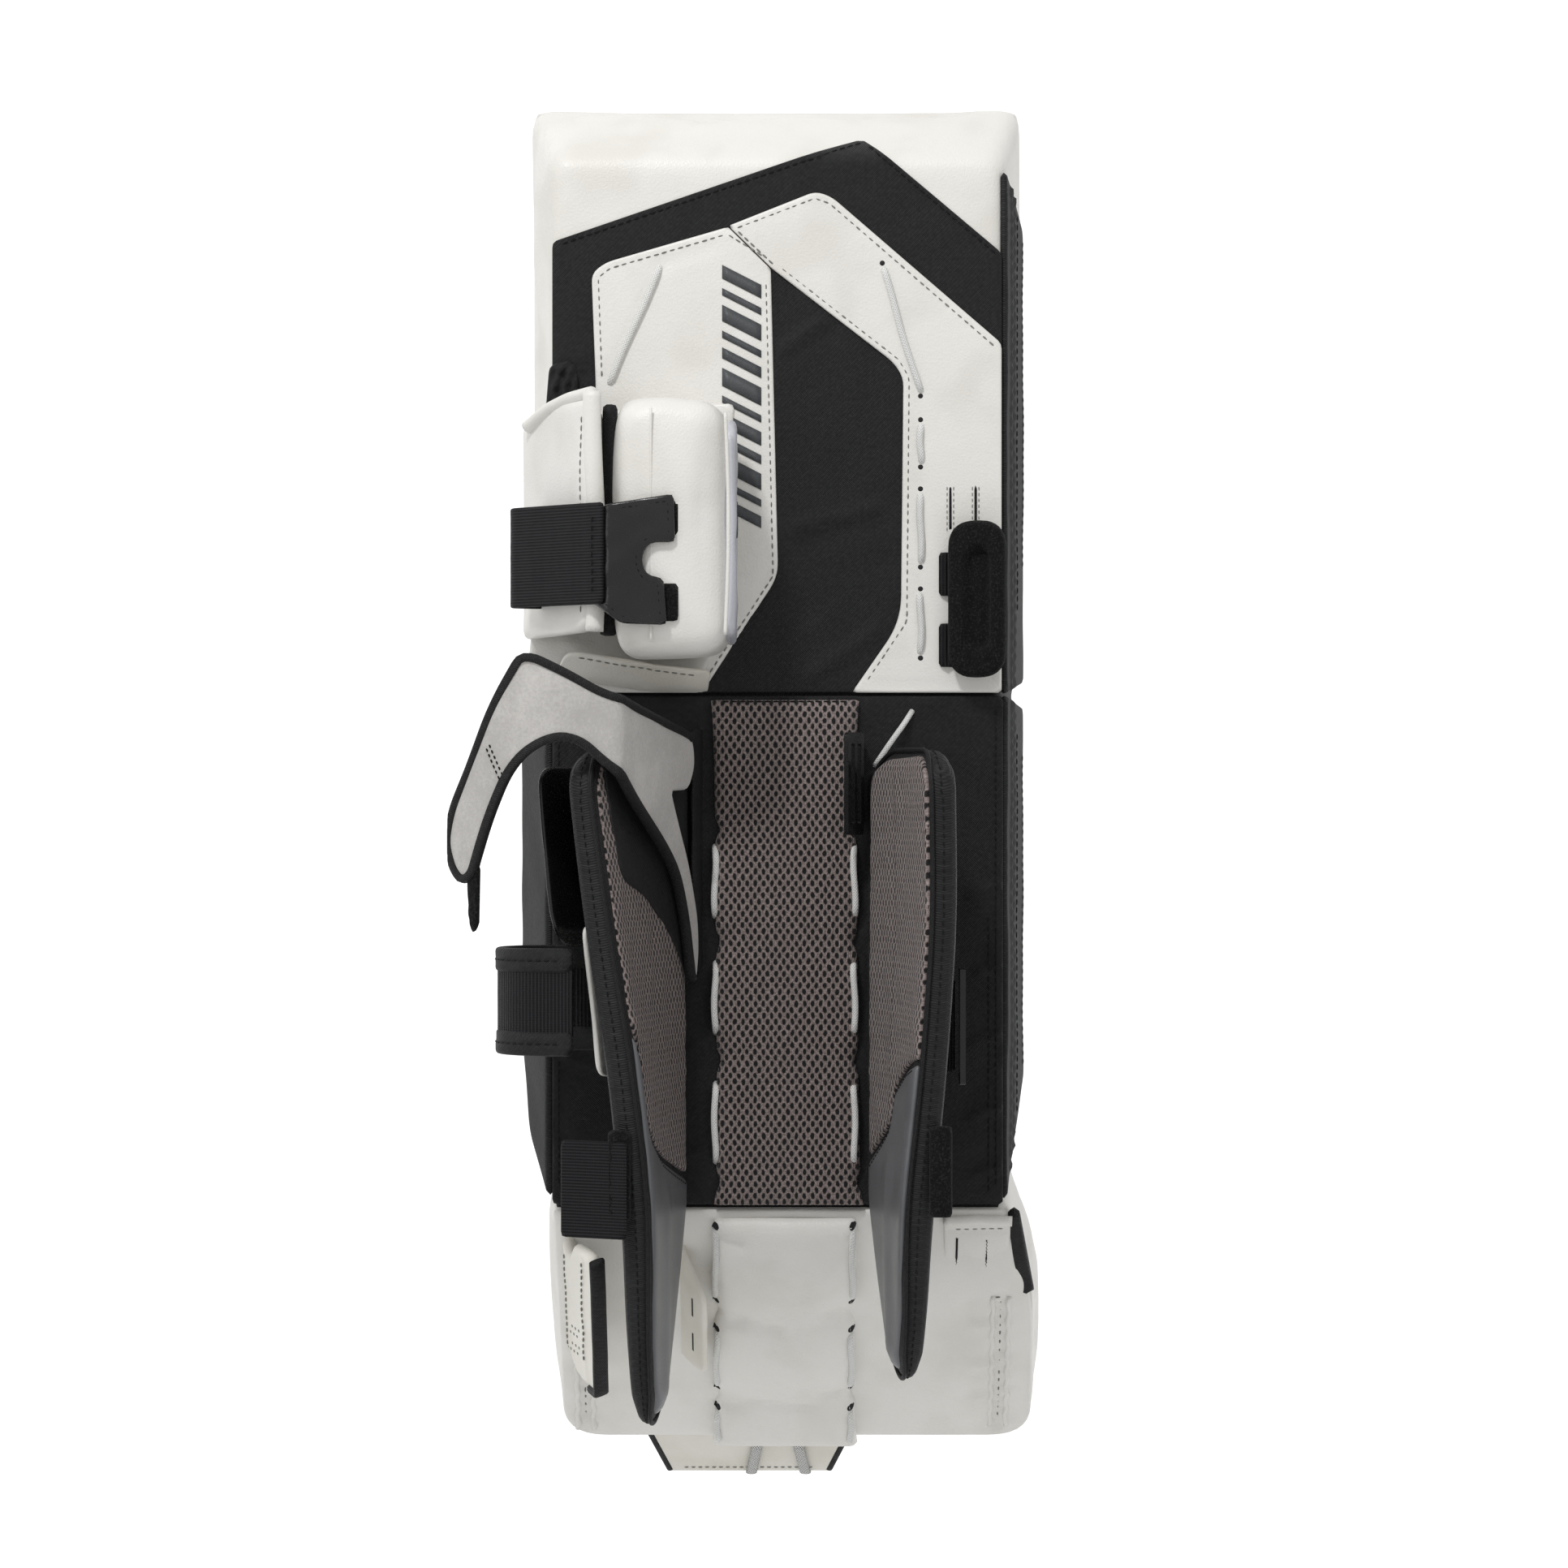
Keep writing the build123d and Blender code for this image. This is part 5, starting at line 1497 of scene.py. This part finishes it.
def make_cradle():
    corners = [(-91, 3.6, 158), (-28, 3.6, 160), (-31, -80, 160), (-89, -80, 157),
               (-91, 3.6, 299), (-28, 3.6, 297), (-32, -80, 294), (-89, -80, 299)]
    block = solid_from(corners, 13, "knee_block", WHITE)
    block = puff(remesh(block, 3.6), 3, lambda at: np.clip((2 - at[:, 1]) / 12, 0, 1))
    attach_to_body(block, "knee_cradle")
    padded(block, 0.8, "knee_block_cover", "knee_block_foam")

    def side_place(u, v, h):
        return np.stack([-26.6 + h + 0 * u, u, v], -1)

    band = Panel(side_place, rounded([(-70, 170, 10), (-8, 166, 6), (-8, 290, 10), (-66, 284, 14)]),
                 1.2, -6, edge=5, relief=uneven(0.4, 22, 71))
    dress(band.build("knee_block_side", SILVER, "knee_cradle", 3.4), "grey_leather")
    mark = Panel(side_place, rounded([(-52, 222), (-34, 226), (-34, 244), (-52, 240)], 2), 1.75, 0, edge=0.5)
    mark.build("knee_block_side_mark", PRINT, "knee_cradle", 2)
    z = np.linspace(170, 288, 40)
    bulge = 2.0 * np.sin(np.pi * (z - 165) / 130)
    tube("knee_block_piping", np.stack([-31.5 + bulge, -75.5 - 0.4 * bulge, z], 1), 1.0, WHITE, "knee_cradle")

    z = np.linspace(166, 290, 30)
    tube("knee_block_front_seam", np.stack([np.full(30, -70.5), np.full(30, -81.6), z], 1), 0.7, WHITE,
         "knee_cradle", sides=8)

    root = [(-140.5, 14), (-135, -1), (-101, -69)]
    place = along_path(root, 6)
    far = place.length
    outline = [(0, 170, 5), (far, 172, 12), (far, 297, 10), (30, 297, 8), (0, 288, 6)]

    def wing_relief(u, v, away):
        folds = [((12, 180), (40, 172)), ((20, 290), (50, 286))]
        return 0.6 * soft(u, v, 40, 72) + cross_folds(u, v, folds, 1.0, 4)

    wing = Panel(place, rounded(outline), 4.6, -4.6, edge=4.4, relief=wing_relief)
    piece = wing.build("knee_wing_cover", WHITE, "knee_cradle", 3.4)
    padded(piece, 0.7, "knee_wing")
    lining = Panel(place, rounded([(22, 178, 6), (far - 2, 180, 8), (far - 2, 291, 8), (22, 291, 6)]),
                   -4.2, -6.2, edge=1, relief=uneven(0.5, 20, 73))
    dress(lining.build("knee_wing_lining", BLACK, "knee_cradle", 4), "black_nylon")
    stitches("knee_wing_stitches", wing, [[(far - 7, 180), (far - 7, 290)]], "knee_cradle")

    cup = [(-141, 152, 6), (-120, 149, 10), (-96, 146, 8), (-60, 143, 8), (-42, 150, 8), (-27, 300, 4),
           (-126, 293, 4)]

    def cup_relief(u, v, away):
        folds = [((-118, 168), (-96, 160)), ((-100, 172), (-84, 158)), ((-70, 160), (-62, 148)),
                 ((-52, 172), (-46, 152))]
        return 0.6 * soft(u, v, 26, 74) + cross_folds(u, v, folds, 1.4, 3.2)

    def cup_rise(u, v, away):
        return 1.6 + 3.5 * np.exp(-(((v - 152) / 12) ** 2))

    base = Panel(facing(5.2), rounded(cup), cup_rise, 0, edge=1.5, relief=cup_relief)
    dress(base.build("knee_cradle_cup", WHITE, "knee_cradle", 3), "white_leather", "knee_cradle_base")

    profile = resample(rounded_open([(3.0, 141.5), (-6, 144), (-26, 158)], 6), 1.0, False)
    run = np.concatenate([[0], np.cumsum(np.linalg.norm(np.diff(profile, axis=0), axis=1))])

    def ledge(u, v, h):
        sag = 9 * np.clip((-u - 70) / 60, 0, 1)
        y, z = np.interp(v, run, profile[:, 0]), np.interp(v, run, profile[:, 1])
        return np.stack([u + 0 * v, y - 0.7 * h, z - 0.7 * h + sag], -1)

    lip = Panel(ledge, rounded([(-127, 0.5, 2), (-42, 0.5, 3), (-40, 24, 4), (-75, 30, 12),
                                (-118, 31, 10)]), 1.3, -1.3, edge=1.2, relief=uneven(0.7, 22, 75))
    dress(lip.build("knee_cradle_lip", CREAM, "knee_cradle", 3), "white_leather")
    stitches("knee_cradle_lip_stitches", lip, [[(-114, 27), (-76, 26.5), (-45, 21)]], "knee_cradle")

    lap = along_path([(-139, -3), (-112, -47), (-101, -69)], 6)
    roll = [(0, 0.0), (24, 8), (48, 12), (lap.length, 13)]
    at = np.array([lap(np.array([a]), np.array([286 + z]), np.array([1.0]))[0] for a, z in roll])
    tube("knee_wing_top_roll", resample(rounded_open(at, 6), 2, False), 4.2, WHITE, "knee_cradle", sides=14,
         flat=0.8)
    # A black sheet in the gap between the wing and the block: lining, and painted shade of the gap.
    dark = Panel(facing(-57), rounded([(-99, 170), (-89, 170), (-89, 294), (-97, 294)], 3), 2, 0, edge=1,
                 relief=uneven(0.4, 14, 78))
    dress(dark.build("knee_wing_gap_lining_and_shade", BLACK, "knee_cradle", 3), "black_nylon")
    edge = lap(np.full(40, lap.length), np.linspace(172, 300, 40), np.zeros(40))
    edge[:, 0] += 1.2 * np.sin(np.linspace(0, 5, 40))
    tube("knee_wing_edge_roll", edge, 5.0, WHITE, "knee_cradle", sides=16, flat=0.9)


def make_tuck():
    """A crumpled end of nylon tucked in beside the knee cradle."""
    def relief(u, v, away):
        return 2.2 * np.sin(u * 1.1 + 2.4 * np.sin(v * 0.21)) * 0.6 + 1.2 * soft(u, v, 6, 91)

    tuck = Panel(facing(7), rounded([(-131, 296, 3), (-119, 293, 4), (-112, 310, 5), (-116, 324, 4),
                                     (-129, 321, 4)]), 5.0, -1.0, edge=3.0, relief=relief)
    dress(tuck.build("nylon_tuck", BLACK, "thigh", 1.6), "black_nylon")


TAB = [(-97, 238.4, 5), (-58.3, 244.4, 3), (-57.5, 218.6, 3), (-71.2, 218.6, 6), (-75.5, 211.3, 5),
       (-73.4, 201.5, 5), (-63.5, 199.8, 4), (-61.8, 174.9, 3), (-86.2, 175.7, 3), (-109.8, 192.9, 4),
       (-103.4, 230.7, 4)]


def make_knee_strap():
    path = [(-131, -17), (-147, -24), (-147, -32), (-95.5, -85.5)]
    band = strap("knee_strap_band", path, 186, 240, 2.5, ELASTIC, "knee_strap", ["knee_strap_elastic"], 4)
    far = band.place.length
    stitches("knee_strap_band_stitches", band, [[(far - 8, 190), (far - 8, 236)]], "knee_strap", DARK_THREAD_AND_HOLE_SHADE)

    def place(u, v, h):
        fall = np.maximum(-92.5 - u, 0)
        return np.stack([u, -83.6 - h + 0.85 * fall, v], -1)

    tab = Panel(place, rounded(TAB), 2.9, 0.2, edge=1.3, relief=lambda u, v, away: 0.5 * soft(u, v, 18, 76)
                - 0.5 * np.exp(-(((away - 3.4) / 0.9) ** 2)))
    dress(tab.build("knee_strap_pull", GLOSSY, "knee_strap", 2.4), "black_leather", "knee_strap_tab")
    inner = inset(resample(rounded(TAB), 1.5), 3.4)
    stitches("knee_strap_pull_stitches", tab, [np.vstack([inner, inner[:1]])], "knee_strap",
             DARK_THREAD_AND_HOLE_SHADE, pitch=3.6, length=2.4, radius=0.34, lift=0.0)
    made = None
    for i, z in enumerate((187, 232)):
        hooks = Panel(facing(-81.2), oblong(-70, z - 10, -56, z + 10, 2), 2.2, -0.4,
                      edge=0.8, relief=uneven(0.3, 5, 77))
        piece = hooks.build(f"knee_strap_hooks_{i}", HOOK, "knee_strap", 2)
        made = made or piece
    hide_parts("knee_strap_hooks")


# ---- Strap catch ----


def make_strap_catch():
    turn = math.radians(20)

    def place(u, v, h):
        x = 92 + u * math.cos(turn) - h * math.sin(turn)
        return np.stack([x, 2.6 - u * math.sin(turn) - h * math.cos(turn), 192 + v], -1)

    oval = oblong(-0.5, -43, 32.5, 43, 15)
    recess = oblong(9.5, -28, 24.5, 28, 7)

    def top(u, v, away):
        spots = np.stack([u, v], 1)
        depth = np.where(inside(spots, recess), distance(spots, recess), 0)
        return 8.2 - 5.0 * quarter(depth, 3)

    pad = Panel(place, oval, top, 0, edge=3.2, relief=uneven(0.5, 9, 81))
    piece = pad.build("strap_catch_cover", HOOK, "strap_catch", 2.2)
    padded(piece, 0.6, "strap_catch_pad")
    made = None
    for i, z in enumerate((206, 167)):
        tab = Panel(facing(5.6), oblong(85, z - 12, 107, z + 12, 2),
                    lambda u, v, away: 2.2 + 2.2 * np.exp(-(((u - 88) / 3.2) ** 2)), 0.1, edge=1,
                    relief=uneven(0.2, 8, 82))
        piece = tab.build(f"strap_catch_tab_{i}", WEBBING, CATCH_BEND, 2)
        made = made or piece
    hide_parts("strap_catch_webbing")


make_ankle_wing()
make_boot_tabs()
make_toe()
make_wrap("left")
make_wrap("right")
make_wrap_root("left")
make_wrap_root("right")
make_outer_flap()
make_knee_wrap()
make_straps()
make_cradle()
make_tuck()
make_knee_strap()
make_strap_catch()
shade_node("calf_buckle", PLASTIC)
shade_node("wrap_ring", PLASTIC)


# ---- Stage ----


def area_light(name, place, aim, size, power):
    light = bpy.data.lights.new(name, "AREA")
    light.shape = "DISK"
    light.size, light.energy = size, power
    lamp = bpy.data.objects.new(name, light)
    lamp.location = place
    lamp.rotation_mode = "QUATERNION"
    lamp.rotation_quaternion = (Vector(aim) - Vector(place)).to_track_quat("-Z", "Y")
    bpy.context.scene.collection.objects.link(lamp)


BACKDROP_Y = 1.3


def make_stage():
    """A plain pale floor below the pad, which curves up behind it and is brighter there."""
    profile = [(-4.0, -0.9), (BACKDROP_Y, -0.9), (2.3, -0.8), (2.8, -0.2), (2.9, 1.0), (2.9, 4.0)]
    fine = rounded_open(profile, 0.6)
    points = [(x, y, z) for y, z in fine for x in (-6, 6)]
    faces = [(i, i + 1, i + 3, i + 2) for i in range(0, len(points) - 2, 2)]
    mesh = bpy.data.meshes.new("floor")
    mesh.from_pydata(points, [], faces)
    near = Graph("pale_floor", (0.8, 0.8, 0.8), 0.9)
    far = Graph("pale_backdrop", (0.9, 0.9, 0.9), 0.9)
    far.shader.inputs["Emission Color"].default_value = (1, 1, 1, 1)
    far.shader.inputs["Emission Strength"].default_value = 0.45
    mesh.materials.append(near.material)
    mesh.materials.append(far.material)
    for face in mesh.polygons:
        face.material_index = 1 if face.center.y > BACKDROP_Y else 0
    mesh.shade_smooth()
    floor = bpy.data.objects.new("floor", mesh)
    bpy.context.scene.collection.objects.link(floor)


def make_camera():
    """A level view, straight at the leg side from 2.4 m."""
    camera = bpy.data.cameras.new("camera")
    camera.lens = 100.5
    camera.sensor_width = 36
    eye = bpy.data.objects.new("camera", camera)
    eye.location = (0, -2.4, 0.0908)
    eye.rotation_euler = (math.pi / 2, 0, 0)
    camera.clip_end = 50
    bpy.context.scene.collection.objects.link(eye)
    bpy.context.scene.camera = eye


def light_up():
    world = bpy.data.worlds.new("studio")
    world.use_nodes = True
    world.node_tree.nodes["Background"].inputs["Color"].default_value = (1, 1, 1, 1)
    world.node_tree.nodes["Background"].inputs["Strength"].default_value = 0.62
    bpy.context.scene.world = world
    area_light("key", (-0.6, -1.35, 1.85), (0, 0, 0.1), 0.3, 22)
    area_light("side", (-2.2, -0.9, 0.5), (0, 0, 0), 0.8, 2)


make_camera()
make_stage()
light_up()
bpy.context.scene.view_settings.view_transform = "Standard"
